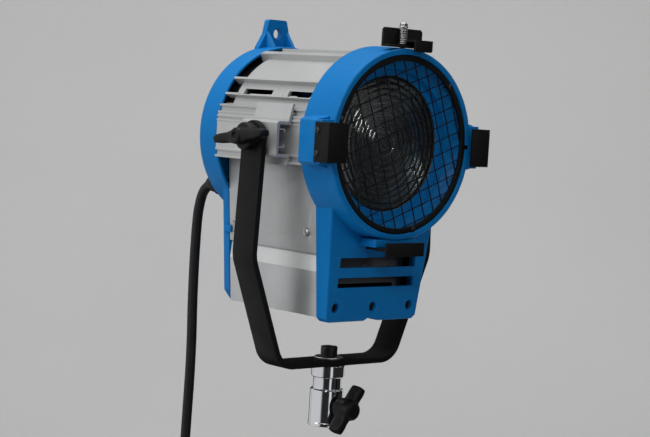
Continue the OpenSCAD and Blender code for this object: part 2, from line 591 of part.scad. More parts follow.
module lamp_bulb() color("#DDE6E8", 0.4) head() translate([0, lamp_y, 0]) union() {
  rotate_extrude() polygon([[0, -24], [7.5, -24], [10, -20], [10, 12], [9, 16], [6, 19.6], [2, 21.4], [0, 21.6],
    [0, 20.4], [1.8, 20.2], [5.4, 18.6], [8.2, 15.4], [9.1, 11.8], [9.1, -19.6], [7, -22.8], [0, -22.8]]);
  box([-7.6, -2.4, -31], [7.6, 2.4, -23]);
}
module lamp_filament() color("#8A8A8A") head() translate([0, lamp_y, 0]) {
  for (x = [-4.5:3:4.5]) translate([x, 0, -5]) cylinder(r = 0.9, h = 10);
  for (x = [-4.5, 1.5]) box([x, -0.3, 4.2], [x + 3, 0.3, 4.8]);
  box([-1.5, -0.3, -4.8], [1.5, 0.3, -4.2]);
  for (x = [-4.5, 4.5]) translate([x, 0, -22.7]) cylinder(r = 0.4, h = 18.5);
}
rim = 57;
module reflector() color(chrome) head() translate([0, lamp_y, 0]) along_y() difference() {
  union() {
    rotate_extrude() polygon(concat(
      [for (i = [0:12]) let (a = rim * i / 12) reflector_r * [sin(a), cos(a)]],
      [for (i = [12:-1:0]) let (a = rim * i / 12) (reflector_r + 1) * [sin(a), cos(a)]]));
    translate([0, 0, reflector_r + 0.6]) cylinder(r = 4, h = 35.9 - reflector_r - 0.6);
  }
}
module reflector_arm() color("#55585A") head() translate([0, lamp_y, 0]) slab_x(-6, 6)
  polygon([[13.05, -58.4], [37.6, -58.4], [37.6, 6], [36, 6], [36, -56.8], [13.05, -56.8]]);
module terminal_block() color("#E8E4DA") head() difference() {
  box([-40, 128, -140.45], [-8, 142, -126]);
  for (x = [-36, -24, -12]) translate([x, 135, -132]) cylinder(r = 2.2, h = 10);
}

yoke();
socket();
socket_bolt();
socket_washer();
socket_clamp_knob();
socket_clamp_stud();
tilt_lock_knob();
tilt_lock_stud();
pivot_bolt();
pivot_washers();
friction_washers();
pivot_nuts();
tilt_bracket_left();
tilt_bracket_right();
front_casting();
lens();
lens_retainer();
guard_ring();
guard_mesh();
guard_screws();
clip_left();
clip_right();
clip_bottom();
clip_screws();
top_latch();
latch_bolt();
latch_spring();
body_shell();
vent_baffle();
side_panel_left();
side_panel_right();
bottom_plate();
front_screws();
panel_screws();
rear_cover();
rear_grille();
rear_screws();
cable_gland();
lead_upper();
lead_lower();
switch_case_front();
switch_case_back();
switch_rocker();
focus_knob();
focus_spindle();
guide_rods();
rod_bracket();
lamp_carriage();
carriage_nut();
lamp_holder();
lamp_base();
lamp_pins();
lamp_bulb();
lamp_filament();
reflector();
reflector_arm();
terminal_block();
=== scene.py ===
import bpy, bmesh, json, math, random
import numpy as np
from mathutils import Vector, Matrix, Quaternion


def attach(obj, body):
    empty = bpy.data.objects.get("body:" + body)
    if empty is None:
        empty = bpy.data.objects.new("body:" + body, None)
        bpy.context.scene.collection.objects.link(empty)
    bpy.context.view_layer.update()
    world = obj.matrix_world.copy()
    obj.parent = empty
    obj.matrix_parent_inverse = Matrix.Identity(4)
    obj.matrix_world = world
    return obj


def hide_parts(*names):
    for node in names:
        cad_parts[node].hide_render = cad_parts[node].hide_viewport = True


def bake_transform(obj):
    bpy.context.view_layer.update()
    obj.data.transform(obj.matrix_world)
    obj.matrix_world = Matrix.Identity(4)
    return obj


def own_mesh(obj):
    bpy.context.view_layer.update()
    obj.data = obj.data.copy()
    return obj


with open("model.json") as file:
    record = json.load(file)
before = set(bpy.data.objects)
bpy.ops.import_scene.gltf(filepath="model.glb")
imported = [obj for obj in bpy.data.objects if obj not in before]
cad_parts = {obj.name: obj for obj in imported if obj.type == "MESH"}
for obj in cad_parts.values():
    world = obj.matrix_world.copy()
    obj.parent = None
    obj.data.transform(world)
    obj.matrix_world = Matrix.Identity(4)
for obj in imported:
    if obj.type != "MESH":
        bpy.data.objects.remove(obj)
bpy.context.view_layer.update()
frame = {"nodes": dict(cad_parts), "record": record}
random.seed(7)
scene = bpy.context.scene
S = 0.001
AY, PZ = 73.5, 240.0          # the head's own frame, in millimetres, against the row frame
HEAD = Matrix.Scale(S, 4) @ Matrix.Translation((0, -AY, PZ))
ROW = Matrix.Scale(S, 4)
rad = math.radians

# ------------------------------------------------------------------ materials
class Mat:
    """A small wrapper round a node tree."""
    def __init__(self, name):
        self.m = bpy.data.materials.new(name)
        self.m.use_nodes = True
        self.nt = self.m.node_tree
        self.nt.nodes.clear()
        self.out = self.nt.nodes.new("ShaderNodeOutputMaterial")
        self.b = self.nt.nodes.new("ShaderNodeBsdfPrincipled")
        self.nt.links.new(self.b.outputs[0], self.out.inputs[0])
        self.co = self.nt.nodes.new("ShaderNodeTexCoord").outputs["Object"]

    def node(self, kind, **kw):
        n = self.nt.nodes.new(kind)
        for k, v in kw.items():
            setattr(n, k, v)
        return n

    def put(self, sock, v):
        if isinstance(v, bpy.types.NodeSocket):
            self.nt.links.new(v, sock)
        else:
            sock.default_value = v

    def vec(self, scale=(1, 1, 1), rot=(0, 0, 0), loc=(0, 0, 0)):
        n = self.node("ShaderNodeMapping")
        self.put(n.inputs["Vector"], self.co)
        n.inputs["Scale"].default_value = scale
        n.inputs["Rotation"].default_value = rot
        n.inputs["Location"].default_value = loc
        return n.outputs[0]

    def noise(self, scale, detail=3, rough=0.5, vec=None, dist=0.0):
        n = self.node("ShaderNodeTexNoise")
        self.put(n.inputs["Vector"], vec or self.co)
        n.inputs["Scale"].default_value = scale
        n.inputs["Detail"].default_value = detail
        n.inputs["Roughness"].default_value = rough
        n.inputs["Distortion"].default_value = dist
        return n.outputs[0]

    def voronoi(self, scale, feature="F1", vec=None):
        n = self.node("ShaderNodeTexVoronoi", feature=feature)
        self.put(n.inputs["Vector"], vec or self.co)
        n.inputs["Scale"].default_value = scale
        return n.outputs["Distance"]

    def math(self, op, a, b=0.0, c=0.0):
        n = self.node("ShaderNodeMath", operation=op)
        self.put(n.inputs[0], a)
        self.put(n.inputs[1], b)
        self.put(n.inputs[2], c)
        return n.outputs[0]

    def map(self, v, lo, hi, a=0.0, b=1.0):
        n = self.node("ShaderNodeMapRange", clamp=True)
        self.put(n.inputs[0], v)
        for i, x in enumerate((lo, hi, a, b)):
            n.inputs[i + 1].default_value = x
        return n.outputs[0]

    def mix(self, f, a, b, blend="MIX"):
        n = self.node("ShaderNodeMix", data_type="RGBA", blend_type=blend)
        self.put(n.inputs["Factor"], f)
        col = [i for i in n.inputs if i.type == "RGBA"]
        for s, v in zip(col, (a, b)):
            self.put(s, v if isinstance(v, bpy.types.NodeSocket) else (*v, 1.0) if len(v) == 3 else v)
        return [o for o in n.outputs if o.type == "RGBA"][0]

    def edge(self, radius=0.0006, lo=0.99, hi=0.86):
        """About 1 on sharp edges and 0 on flats."""
        bv = self.node("ShaderNodeBevel", samples=4)
        bv.inputs["Radius"].default_value = radius
        g = self.node("ShaderNodeNewGeometry")
        d = self.node("ShaderNodeVectorMath", operation="DOT_PRODUCT")
        self.nt.links.new(bv.outputs[0], d.inputs[0])
        self.nt.links.new(g.outputs["Normal"], d.inputs[1])
        return self.map(d.outputs["Value"], lo, hi)

    def bump(self, h, strength, dist, normal=None):
        n = self.node("ShaderNodeBump")
        self.put(n.inputs["Height"], h)
        n.inputs["Strength"].default_value = strength
        n.inputs["Distance"].default_value = dist
        if normal is not None:
            self.put(n.inputs["Normal"], normal)
        return n.outputs[0]

    def set(self, **kw):
        for k, v in kw.items():
            s = self.b.inputs[k.replace("_", " ")]
            if isinstance(v, tuple) and len(v) == 3 and s.type == "RGBA":
                v = (*v, 1.0)
            self.put(s, v)
        return self


def paint(name, c1, c2, worn, rough=(0.36, 0.5), grain=1500, bump=0.10, coat=0.0, wear=0.35, metal=0.0, dust=0.05,
          spec=0.5):
    m = Mat(name)
    big = m.noise(14, 3)
    fine = m.noise(grain, 2)
    mottle = m.noise(160, 4, 0.6)
    col = m.mix(m.map(big, 0.3, 0.7), c1, c2)
    col = m.mix(m.math("MULTIPLY", m.map(mottle, 0.45, 0.75), 0.25), col, tuple(min(1, x * 1.35 + 0.004) for x in c1))
    up = m.node("ShaderNodeSeparateXYZ")
    m.nt.links.new(m.node("ShaderNodeNewGeometry").outputs["Normal"], up.inputs[0])
    dusty = m.math("MULTIPLY", m.map(up.outputs[2], 0.5, 1.0), m.map(m.noise(70, 5, 0.7), 0.35, 0.8))
    col = m.mix(m.math("MULTIPLY", dusty, dust), col, (0.5, 0.49, 0.47))
    e = m.math("MULTIPLY", m.edge(), m.map(m.noise(260, 5, 0.7), 0.42, 0.62))
    col = m.mix(m.math("MULTIPLY", e, wear), col, worn)
    r = m.map(m.noise(55, 4, 0.6), 0.3, 0.7, *rough)
    r = m.math("ADD", r, m.math("MULTIPLY", dusty, 0.15))
    n = m.bump(fine, bump, 0.00025)
    n = m.bump(m.noise(320, 3), bump * 0.5, 0.0006, n)
    m.set(Base_Color=col, Roughness=r, Metallic=metal, Normal=n, Coat_Weight=coat, Coat_Roughness=0.2, Specular_IOR_Level=spec)
    return m.m


def metal(name, c1, c2, rough=(0.25, 0.4), amount=1.0, streak=None, bump=0.06, bright=None, wear=0.4, grain=2600):
    """streak is the mapping scale that stretches the drawn lines."""
    m = Mat(name)
    col = m.mix(m.map(m.noise(22, 4, 0.6), 0.3, 0.7), c1, c2)
    v = m.vec(streak) if streak else m.co
    line = m.noise(grain, 3, 0.6, v)
    col = m.mix(m.math("MULTIPLY", m.map(line, 0.3, 0.75), 0.16), col, tuple(x * 0.72 for x in c1))
    e = m.math("MULTIPLY", m.edge(0.0005), m.map(m.noise(300, 4, 0.7), 0.35, 0.65))
    col = m.mix(m.math("MULTIPLY", e, wear), col, bright or tuple(min(1, x * 1.25) for x in c1))
    r = m.map(m.noise(40, 4, 0.65), 0.28, 0.72, *rough)
    r = m.math("ADD", r, m.math("MULTIPLY", m.map(line, 0.3, 0.7), 0.06))
    m.set(Base_Color=col, Roughness=r, Metallic=amount, Normal=m.bump(line, bump, 0.00012))
    return m.m


def plastic(name, c1, c2, rough=(0.38, 0.52), worn=(0.05, 0.05, 0.05), bump=0.16, wear=0.4,
            spec=0.4):
    m = Mat(name)
    col = m.mix(m.map(m.noise(45, 4, 0.6), 0.3, 0.7), c1, c2)
    e = m.math("MULTIPLY", m.edge(0.0008), m.map(m.noise(220, 4, 0.7), 0.4, 0.65))
    col = m.mix(m.math("MULTIPLY", e, wear), col, worn)
    r = m.map(m.noise(90, 4, 0.6), 0.3, 0.7, *rough)
    n = m.bump(m.voronoi(1500), bump, 0.0002)
    m.set(Base_Color=col, Roughness=r, Normal=n, Specular_IOR_Level=spec)
    return m.m


def glass(name, tint, rough=0.03, ior=1.47, shadow=0.9, ripple=0.05, rscale=300, coat=0.0, rings=None):
    m = Mat(name)
    v = m.noise(rscale, 3)
    m.set(Base_Color=m.mix(m.map(m.noise(30, 3), 0.3, 0.7), tint, tuple(x * 0.96 for x in tint)),
          Roughness=m.map(m.noise(120, 4), 0.3, 0.7, rough, rough * 2.2), IOR=ior, Transmission_Weight=1.0, Coat_Weight=coat, Coat_Roughness=0.02,
          Normal=m.bump(v, ripple, 0.0004))
    lp = m.node("ShaderNodeLightPath")
    tr = m.node("ShaderNodeBsdfTransparent")
    tr.inputs[0].default_value = (shadow, shadow, shadow, 1)
    mx = m.node("ShaderNodeMixShader")
    m.nt.links.new(lp.outputs["Is Shadow Ray"], mx.inputs[0])
    body = m.b.outputs[0]
    if rings:
        # a faint even haze over the glass, and a painted highlight at the foot of every step that draws the rings as
        # light lines
        pitch, cz, low, high = rings
        xyz = m.node("ShaderNodeSeparateXYZ")
        m.nt.links.new(m.co, xyz.inputs[0])
        z = m.math("SUBTRACT", xyz.outputs[2], cz)
        r = m.math("SQRT", m.math("ADD", m.math("MULTIPLY", xyz.outputs[0], xyz.outputs[0]), m.math("MULTIPLY", z, z)))
        t = m.math("SUBTRACT", 1.0, m.math("FRACT", m.math("DIVIDE", r, pitch)))
        haze_and_ring_highlight = m.node("ShaderNodeBsdfDiffuse")
        haze_and_ring_highlight.inputs[0].default_value = (0.70, 0.77, 0.77, 1)
        ring_highlight_mix = m.node("ShaderNodeMixShader")
        m.nt.links.new(m.math("ADD", low, m.math("MULTIPLY", m.math("POWER", t, 4.0), high)), ring_highlight_mix.inputs[0])
        m.nt.links.new(body, ring_highlight_mix.inputs[1])
        m.nt.links.new(haze_and_ring_highlight.outputs[0], ring_highlight_mix.inputs[2])
        body = ring_highlight_mix.outputs[0]
    m.nt.links.new(body, mx.inputs[1])
    m.nt.links.new(tr.outputs[0], mx.inputs[2])
    m.nt.links.new(mx.outputs[0], m.out.inputs[0])
    return m.m


M = {
    "blue_cast": paint("blue_powder_coat", (0.0006, 0.151, 0.436), (0.0009, 0.169, 0.472), (0.04, 0.34, 0.64),
                       rough=(0.36, 0.48), bump=0.10, coat=0.0, wear=0.35, dust=0.008, spec=0.14),
    "silver_extrusion": metal("anodised_extrusion", (0.50, 0.505, 0.50), (0.455, 0.46, 0.455), rough=(0.34, 0.46),
                              amount=0.45, streak=(1, 0.012, 1), bump=0.10, bright=(0.72, 0.72, 0.71)),
    # dark matte finish for the lens risers: painted shade that draws the steps as dark lines
    "lens_riser_painted_shade": paint("lens_step_painted_shade", (0.0060, 0.0070, 0.0075), (0.0100, 0.0110, 0.0115), (0.05, 0.05, 0.05),
                        rough=(0.40, 0.55), bump=0.1, wear=0.1, dust=0.01, spec=0.3),
    # a brighter copy of the anodised finish: a painted highlight for the side panels' sloping band, which faces up into
    # the light
    "silver_band_painted_highlight": metal("anodised_band_painted_highlight", (0.80, 0.80, 0.79), (0.76, 0.76, 0.75), rough=(0.30, 0.40),
                         amount=0.3, streak=(1, 0.012, 1), bump=0.08, bright=(0.88, 0.88, 0.87)),
    "silver_lower": metal("anodised_lower_panel", (0.60, 0.605, 0.60), (0.49, 0.495, 0.49), rough=(0.26, 0.36),
                          amount=0.6, streak=(1, 1, 0.02), bump=0.10, bright=(0.66, 0.66, 0.65)),
    "black_steel": paint("black_satin_paint", (0.0068, 0.0068, 0.0070), (0.0088, 0.0088, 0.0090), (0.05, 0.05, 0.05),
                         rough=(0.46, 0.60), bump=0.12, wear=0.30, dust=0.004, spec=0.11),
    "black_plastic": plastic("black_moulding", (0.0042, 0.0042, 0.0045), (0.0065, 0.0065, 0.0068), spec=0.18),
    "chrome_plate": metal("bright_chrome", (0.80, 0.81, 0.83), (0.74, 0.75, 0.77), rough=(0.05, 0.13), bump=0.03,
                          streak=(1, 1, 0.05), bright=(0.9, 0.9, 0.9), wear=0.2),
    "zinc_steel": metal("zinc_plate", (0.60, 0.61, 0.62), (0.52, 0.53, 0.52), rough=(0.22, 0.36), bump=0.06),
    "black_screw": metal("blackened_steel", (0.030, 0.030, 0.032), (0.045, 0.044, 0.045), rough=(0.30, 0.45),
                         amount=0.7, bright=(0.25, 0.25, 0.25)),
    # heat_steel also serves as painted shade on the inward faces of the body and side panels
    "heat_steel": paint("heat_proof_black_and_painted_shade", (0.0040, 0.0040, 0.0042), (0.0070, 0.0068, 0.0066), (0.04, 0.038, 0.036),
                        rough=(0.56, 0.72), bump=0.2, wear=0.25, dust=0.02, spec=0.2),
    "plate_steel": metal("dull_plate", (0.22, 0.225, 0.23), (0.28, 0.275, 0.27), rough=(0.35, 0.5), amount=0.9),
    # rings gives painted highlight rings at the foot of each lens step
    "lens_glass": glass("lens_glass", (0.72, 0.82, 0.85), 0.09, 1.47, 0.70, 0.0, 500, coat=1.0,
                        rings=(0.0548 / 11, 0.240, 0.006, 0.075)),
    "lamp_quartz": glass("lamp_quartz", (0.97, 0.98, 0.985), 0.015, 1.45, 0.95, 0.02, 200),
    "ceramic": paint("steatite", (0.70, 0.67, 0.60), (0.62, 0.60, 0.54), (0.80, 0.77, 0.72), rough=(0.55, 0.7),
                     grain=900, bump=0.2, wear=0.3, dust=0.02),
    "brass": metal("machined_brass", (0.62, 0.43, 0.15), (0.55, 0.39, 0.15), rough=(0.2, 0.34), streak=(1, 1, 1)),
    "reflector_alu": metal("bright_reflector", (0.86, 0.87, 0.88), (0.82, 0.83, 0.84), rough=(0.12, 0.22), bump=0.25,
                           grain=260, wear=0.1),
    "tungsten": metal("drawn_tungsten", (0.30, 0.29, 0.28), (0.24, 0.235, 0.23), rough=(0.35, 0.5)),
    "lead_rubber": plastic("lead_rubber", (0.0060, 0.0060, 0.0064), (0.0090, 0.0090, 0.0094), rough=(0.46, 0.62),
                           worn=(0.03, 0.03, 0.03), bump=0.10, wear=0.15, spec=0.3),
    "fibre": plastic("pressed_fibre", (0.045, 0.043, 0.04), (0.06, 0.057, 0.052), rough=(0.6, 0.75)),
    "rocker_red": plastic("rocker_red", (0.26, 0.012, 0.010), (0.30, 0.018, 0.014), rough=(0.2, 0.3),
                          worn=(0.5, 0.1, 0.08), bump=0.03),
}
SLOT = {s["node"]: s["material_slot"] for s in frame["record"]["subparts"]}
BODY = {n: b for b, ns in frame["record"]["behaviour"]["bodies"].items() for n in ns}

# ------------------------------------------------------------------ mesh tools
def bevel_sharp(bm, width, segs=2, angle=28):
    bmesh.ops.recalc_face_normals(bm, faces=bm.faces)
    edges = [e for e in bm.edges if e.is_manifold and abs(e.calc_face_angle(0)) > rad(angle)]
    if edges and width > 0:
        bmesh.ops.bevel(bm, geom=edges, offset=width, offset_type="OFFSET", segments=segs, profile=0.5,
                        affect="EDGES", clamp_overlap=True, miter_outer="ARC" if segs > 1 else "SHARP")


def finish(name, bm, node=None, body=None, space=HEAD, mat=None, replaces=None, smooth=32):
    """Turns a bmesh in millimetres into a piece that rides on its body."""
    bmesh.ops.recalc_face_normals(bm, faces=bm.faces)
    bm.transform(space)
    me = bpy.data.meshes.new(name)
    bm.to_mesh(me)
    bm.free()
    return finish_mesh(name, me, node, body, mat, replaces, smooth)


def finish_mesh(name, me, node=None, body=None, mat=None, replaces=None, smooth=32):
    for p in me.polygons:
        p.use_smooth = True
    if smooth < 180:
        me.set_sharp_from_angle(angle=rad(smooth))
    me.materials.clear()
    slot = mat or SLOT[node]
    me.materials.append(M[slot])
    ob = bpy.data.objects.new(name, me)
    scene.collection.objects.link(ob)
    if body != "free":
        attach(ob, body or BODY[node])
    if replaces is None and node:
        replaces = [node]
    if replaces:
        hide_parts(*replaces)
    return ob


def temp(bm, name="t"):
    me = bpy.data.meshes.new(name)
    bmesh.ops.recalc_face_normals(bm, faces=bm.faces)
    bm.to_mesh(me)
    bm.free()
    ob = bpy.data.objects.new(name, me)
    scene.collection.objects.link(ob)
    return ob


def carve(base, steps, solver="MANIFOLD"):
    """base and the operands are temporary objects in millimetres. Returns a bmesh."""
    for op, o in steps:
        m = base.modifiers.new("b", "BOOLEAN")
        m.operation, m.object, m.solver = op, o, solver
    dg = bpy.context.evaluated_depsgraph_get()
    dg.update()
    me = bpy.data.meshes.new_from_object(base.evaluated_get(dg))
    bm = bmesh.new()
    bm.from_mesh(me)
    bpy.data.meshes.remove(me)
    for o in [base] + [o for _, o in steps]:
        if o.name in bpy.data.objects:
            bpy.data.objects.remove(o)
    return bm


def soften(bm, voxel, rounds=3, ratio=1.0, factor=0.5):
    """Remeshes a closed bmesh to even quads and rounds its edges, as a casting's or a moulding's are."""
    ob = temp(bm)
    m = ob.modifiers.new("r", "REMESH")
    m.mode, m.voxel_size = "VOXEL", voxel
    if rounds:
        s = ob.modifiers.new("s", "SMOOTH")
        s.factor, s.iterations = factor, rounds
    if ratio < 1:
        d = ob.modifiers.new("d", "DECIMATE")
        d.ratio = ratio
    dg = bpy.context.evaluated_depsgraph_get()
    dg.update()
    me = bpy.data.meshes.new_from_object(ob.evaluated_get(dg))
    out = bmesh.new()
    out.from_mesh(me)
    bpy.data.objects.remove(ob)
    bpy.data.meshes.remove(me)
    return out


def from_node(node, space=HEAD):
    """The CAD node as a welded bmesh in millimetres, its flat faces whole."""
    bm = bmesh.new()
    bm.from_mesh(frame["nodes"][node].data)
    bm.transform(space.inverted())
    bmesh.ops.remove_doubles(bm, verts=bm.verts, dist=0.002)
    bmesh.ops.dissolve_limit(bm, angle_limit=rad(0.4), verts=bm.verts, edges=bm.edges, use_dissolve_boundaries=False)
    bmesh.ops.recalc_face_normals(bm, faces=bm.faces)
    return bm


def box(a, b):
    bm = bmesh.new()
    bmesh.ops.create_cube(bm, size=1)
    a, b = Vector(a), Vector(b)
    for v in bm.verts:
        v.co = Vector([(a[i] + b[i]) / 2 + v.co[i] * (b[i] - a[i]) for i in range(3)])
    return bm


def prism(points, lo, hi, axis="y"):
    """points in (x, z) run along Y, or in (y, z) along X, or in (x, y) along Z."""
    bm = bmesh.new()
    at = {"y": lambda p, t: (p[0], t, p[1]), "x": lambda p, t: (t, p[0], p[1]), "z": lambda p, t: (p[0], p[1], t)}[axis]
    a = [bm.verts.new(at(p, lo)) for p in points]
    b = [bm.verts.new(at(p, hi)) for p in points]
    n = len(points)
    bm.faces.new(a)
    bm.faces.new(b[::-1])
    for i in range(n):
        bm.faces.new((a[i], b[i], b[(i + 1) % n], a[(i + 1) % n]))
    bmesh.ops.recalc_face_normals(bm, faces=bm.faces)
    return bm


def lathe(profile, n=128, axis="y", origin=(0, 0, 0), closed=True):
    """profile is [(r, t)]; a closed loop, or a line whose ends lie on the axis."""
    bm = bmesh.new()
    o = Vector(origin)
    put = {"y": lambda r, t, c, s: (r * c, t, r * s), "x": lambda r, t, c, s: (t, r * c, r * s),
           "z": lambda r, t, c, s: (r * c, r * s, t)}[axis]
    rows = []
    for r, t in profile:
        if r < 1e-6:
            rows.append([bm.verts.new(o + Vector(put(0, t, 1, 0)))] * n)
        else:
            rows.append([bm.verts.new(o + Vector(put(r, t, math.cos(2 * math.pi * i / n), math.sin(2 * math.pi * i / n))))
                         for i in range(n)])
    m = len(rows)
    for k in range(m if closed else m - 1):
        a, b = rows[k], rows[(k + 1) % m]
        for i in range(n):
            j = (i + 1) % n
            vs = []
            for v in (a[i], b[i], b[j], a[j]):
                if v not in vs:
                    vs.append(v)
            if len(vs) > 2:
                bm.faces.new(vs)
    bmesh.ops.recalc_face_normals(bm, faces=bm.faces)
    return bm


def cyl(x, z, r, y0, y1, n=64):
    return lathe([(0, y0), (r, y0), (r, y1), (0, y1)], n, "y", (x, 0, z), closed=False)


def tube(path, r, n=16, cap=True, bm=None):
    """A round wire along a path of points, with round ends if r is one number."""
    bm = bm or bmesh.new()
    pts = [Vector(p) for p in path]
    rs = r if isinstance(r, (list, tuple)) else [r] * len(pts)
    tang = [(pts[min(i + 1, len(pts) - 1)] - pts[max(i - 1, 0)]).normalized() for i in range(len(pts))]
    up = Vector((0, 0, 1)) if abs(tang[0].z) < 0.9 else Vector((1, 0, 0))
    u = tang[0].cross(up).normalized()
    rows = []
    for i, p in enumerate(pts):
        if i:
            q = tang[i - 1].rotation_difference(tang[i])
            u = (q @ u).normalized()
        v = tang[i].cross(u).normalized()
        rows.append([bm.verts.new(p + rs[i] * (math.cos(2 * math.pi * k / n) * u + math.sin(2 * math.pi * k / n) * v))
                     for k in range(n)])
    for a, b in zip(rows, rows[1:]):
        for k in range(n):
            bm.faces.new((a[k], a[(k + 1) % n], b[(k + 1) % n], b[k]))
    if cap:
        for row, s in ((rows[0], -1), (rows[-1], 1)):
            i = 0 if s < 0 else -1
            prev, rr = row, rs[i]
            for f in (0.38, 0.72, 0.92):
                ring_ = [bm.verts.new(pts[i] + (v.co - pts[i]) * math.sqrt(1 - f * f) + tang[i] * s * rr * f) for v in row]
                for k in range(n):
                    bm.faces.new((prev[k], prev[(k + 1) % n], ring_[(k + 1) % n], ring_[k]))
                prev = ring_
            bm.faces.new(prev)
    return bm


def join(*bms):
    out = bmesh.new()
    for b in bms:
        me = bpy.data.meshes.new("j")
        b.to_mesh(me)
        b.free()
        out.from_mesh(me)
        bpy.data.meshes.remove(me)
    return out


def refine(node, width=0.4, segs=2, angle=28, name=None, space=HEAD):
    bm = from_node(node, space)
    bevel_sharp(bm, width, segs, angle)
    return finish(name or node + "_made", bm, node, space=space)


def smooth_path(pts, step=2.0):
    """Catmull-Rom through the points, resampled."""
    P = [np.array(p, float) for p in pts]
    P = [2 * P[0] - P[1]] + P + [2 * P[-1] - P[-2]]
    out = []
    for i in range(1, len(P) - 2):
        a, b, c, d = P[i - 1:i + 3]
        n = max(2, int(np.linalg.norm(c - b) / step))
        for k in range(n):
            t = k / n
            out.append(0.5 * (2 * b + (c - a) * t + (2 * a - 5 * b + 4 * c - d) * t * t + (3 * b - a - 3 * c + d) * t ** 3))
    out.append(P[-2])
    return [tuple(p) for p in out]


def round_poly(pts, r, n=4, closed=True, skip=()):
    """Rounds the corners of a flat path."""
    P = [np.array(p, float) for p in pts]
    m, out = len(P), []
    for i in range(m):
        b = P[i]
        if (not closed and i in (0, m - 1)) or i in skip:
            out.append(tuple(b))
            continue
        a, c = P[i - 1], P[(i + 1) % m]
        u, v = a - b, c - b
        lu, lv = np.linalg.norm(u), np.linalg.norm(v)
        if lu < 1e-6 or lv < 1e-6:
            continue
        u, v = u / lu, v / lv
        cosang = float(np.clip(u @ v, -1, 1))
        half = math.acos(cosang) / 2
        if half > rad(84) or half < rad(4):
            out.append(tuple(b))
            continue
        rr = r[i] if isinstance(r, (list, tuple)) else r
        t = min(rr / math.tan(half), 0.46 * lu, 0.46 * lv)
        rr = t * math.tan(half)
        if rr < 1e-3:
            out.append(tuple(b))
            continue
        mid = b + (u + v) / np.linalg.norm(u + v) * rr / math.sin(half)
        s, e = b + u * t - mid, b + v * t - mid
        a0 = math.atan2(s[1], s[0])
        d = (math.atan2(e[1], e[0]) - a0 + math.pi) % (2 * math.pi) - math.pi
        for k in range(n + 1):
            out.append(tuple(mid + rr * np.array([math.cos(a0 + d * k / n), math.sin(a0 + d * k / n)])))
    return out


def block(pts, lo, hi, axis="y", r=0.0, ends=0.4, segs=2, n=4, which=(1, 1)):
    """A prism with rounded profile corners and rounded end edges."""
    bm = prism(round_poly(pts, r, n) if r else pts, lo, hi, axis)
    k = {"x": 0, "y": 1, "z": 2}[axis]
    if ends > 0:
        ed = []
        for e in bm.edges:
            t0, t1 = e.verts[0].co[k], e.verts[1].co[k]
            if abs(t0 - t1) < 1e-6 and ((which[0] and abs(t0 - lo) < 1e-6) or (which[1] and abs(t0 - hi) < 1e-6)):
                ed.append(e)
        bmesh.ops.bevel(bm, geom=ed, offset=ends, offset_type="OFFSET", segments=segs, profile=0.5, affect="EDGES")
    return bm


def rbox(a, b, r=0.5, segs=2):
    bm = box(a, b)
    if r:
        bmesh.ops.bevel(bm, geom=bm.edges[:], offset=r, offset_type="OFFSET", segments=segs, profile=0.5, affect="EDGES")
    return bm


def T(bm, m):
    bm.transform(m)
    return bm


def mirror_x(bm):
    out = bm.copy()
    for v in out.verts:
        v.co.x = -v.co.x
    bmesh.ops.reverse_faces(out, faces=out.faces)
    return out


def both(bm):
    return [bm, mirror_x(bm)]


def build(base, adds=(), cuts=(), more=(), solver="MANIFOLD"):
    steps = [("UNION", temp(b)) for b in adds] + [("DIFFERENCE", temp(b)) for b in cuts] + [("UNION", temp(b)) for b in more]
    return carve(temp(base), steps, solver)


def rings_lathe(pts, r=0.5, n=192, axis="y", origin=(0, 0, 0), corner=4):
    """A closed lathe profile with rounded corners."""
    return lathe(round_poly(pts, r, corner), n, axis, origin, True)


def box_half(z):
    return 57 + (z + 60) * 7 / 82


def front_y(z):
    return 17 - (z + 60) * 7 / 82


NODES = frame["nodes"]
BOLT_X = -3.5
SW_Z = -306.0

# ------------------------------------------------------------------ front casting
def outline(inset, top, foot):
    h = box_half(-142)
    return [(-box_half(top) + inset, top), (-h + inset, -142.3 + (0 if foot else 1)),
            (-46 + inset / 2, -145.3 if foot else -142.2), (-8, -145.3 if foot else -142.2),
            (-4, -143.2 if foot else -142.2), (4, -143.2 if foot else -142.2), (8, -145.3 if foot else -142.2),
            (46 - inset / 2, -145.3 if foot else -142.2), (h - inset, -142.3 + (0 if foot else 1)),
            (box_half(top) - inset, top)]


def leaning(pts, d, y1, r=0.6, front_r=0.0):
    """A prism along Y whose front face leans as the casting's does."""
    bm = prism(round_poly(pts, r, 3) if r else pts, 0, y1)
    for v in bm.verts:
        if v.co.y < 1:
            v.co.y = front_y(v.co.z) + d
    if front_r:
        ed = [e for e in bm.edges if all(abs(v.co.y - front_y(v.co.z) - d) < 1e-4 for v in e.verts)]
        bmesh.ops.bevel(bm, geom=ed, offset=front_r, offset_type="OFFSET", segments=3, profile=0.5, affect="EDGES")
    return bm


def sliced(bm, xs, zs):
    """Cuts the flat faces into smaller ones, so that no face bends round an opening."""
    for axis, marks in ((0, xs), (2, zs)):
        for t in marks:
            co, no = Vector((0, 0, 0)), Vector((0, 0, 0))
            co[axis], no[axis] = t + 0.13, 1
            bmesh.ops.bisect_plane(bm, geom=bm.verts[:] + bm.edges[:] + bm.faces[:], plane_co=co, plane_no=no)
    return bm


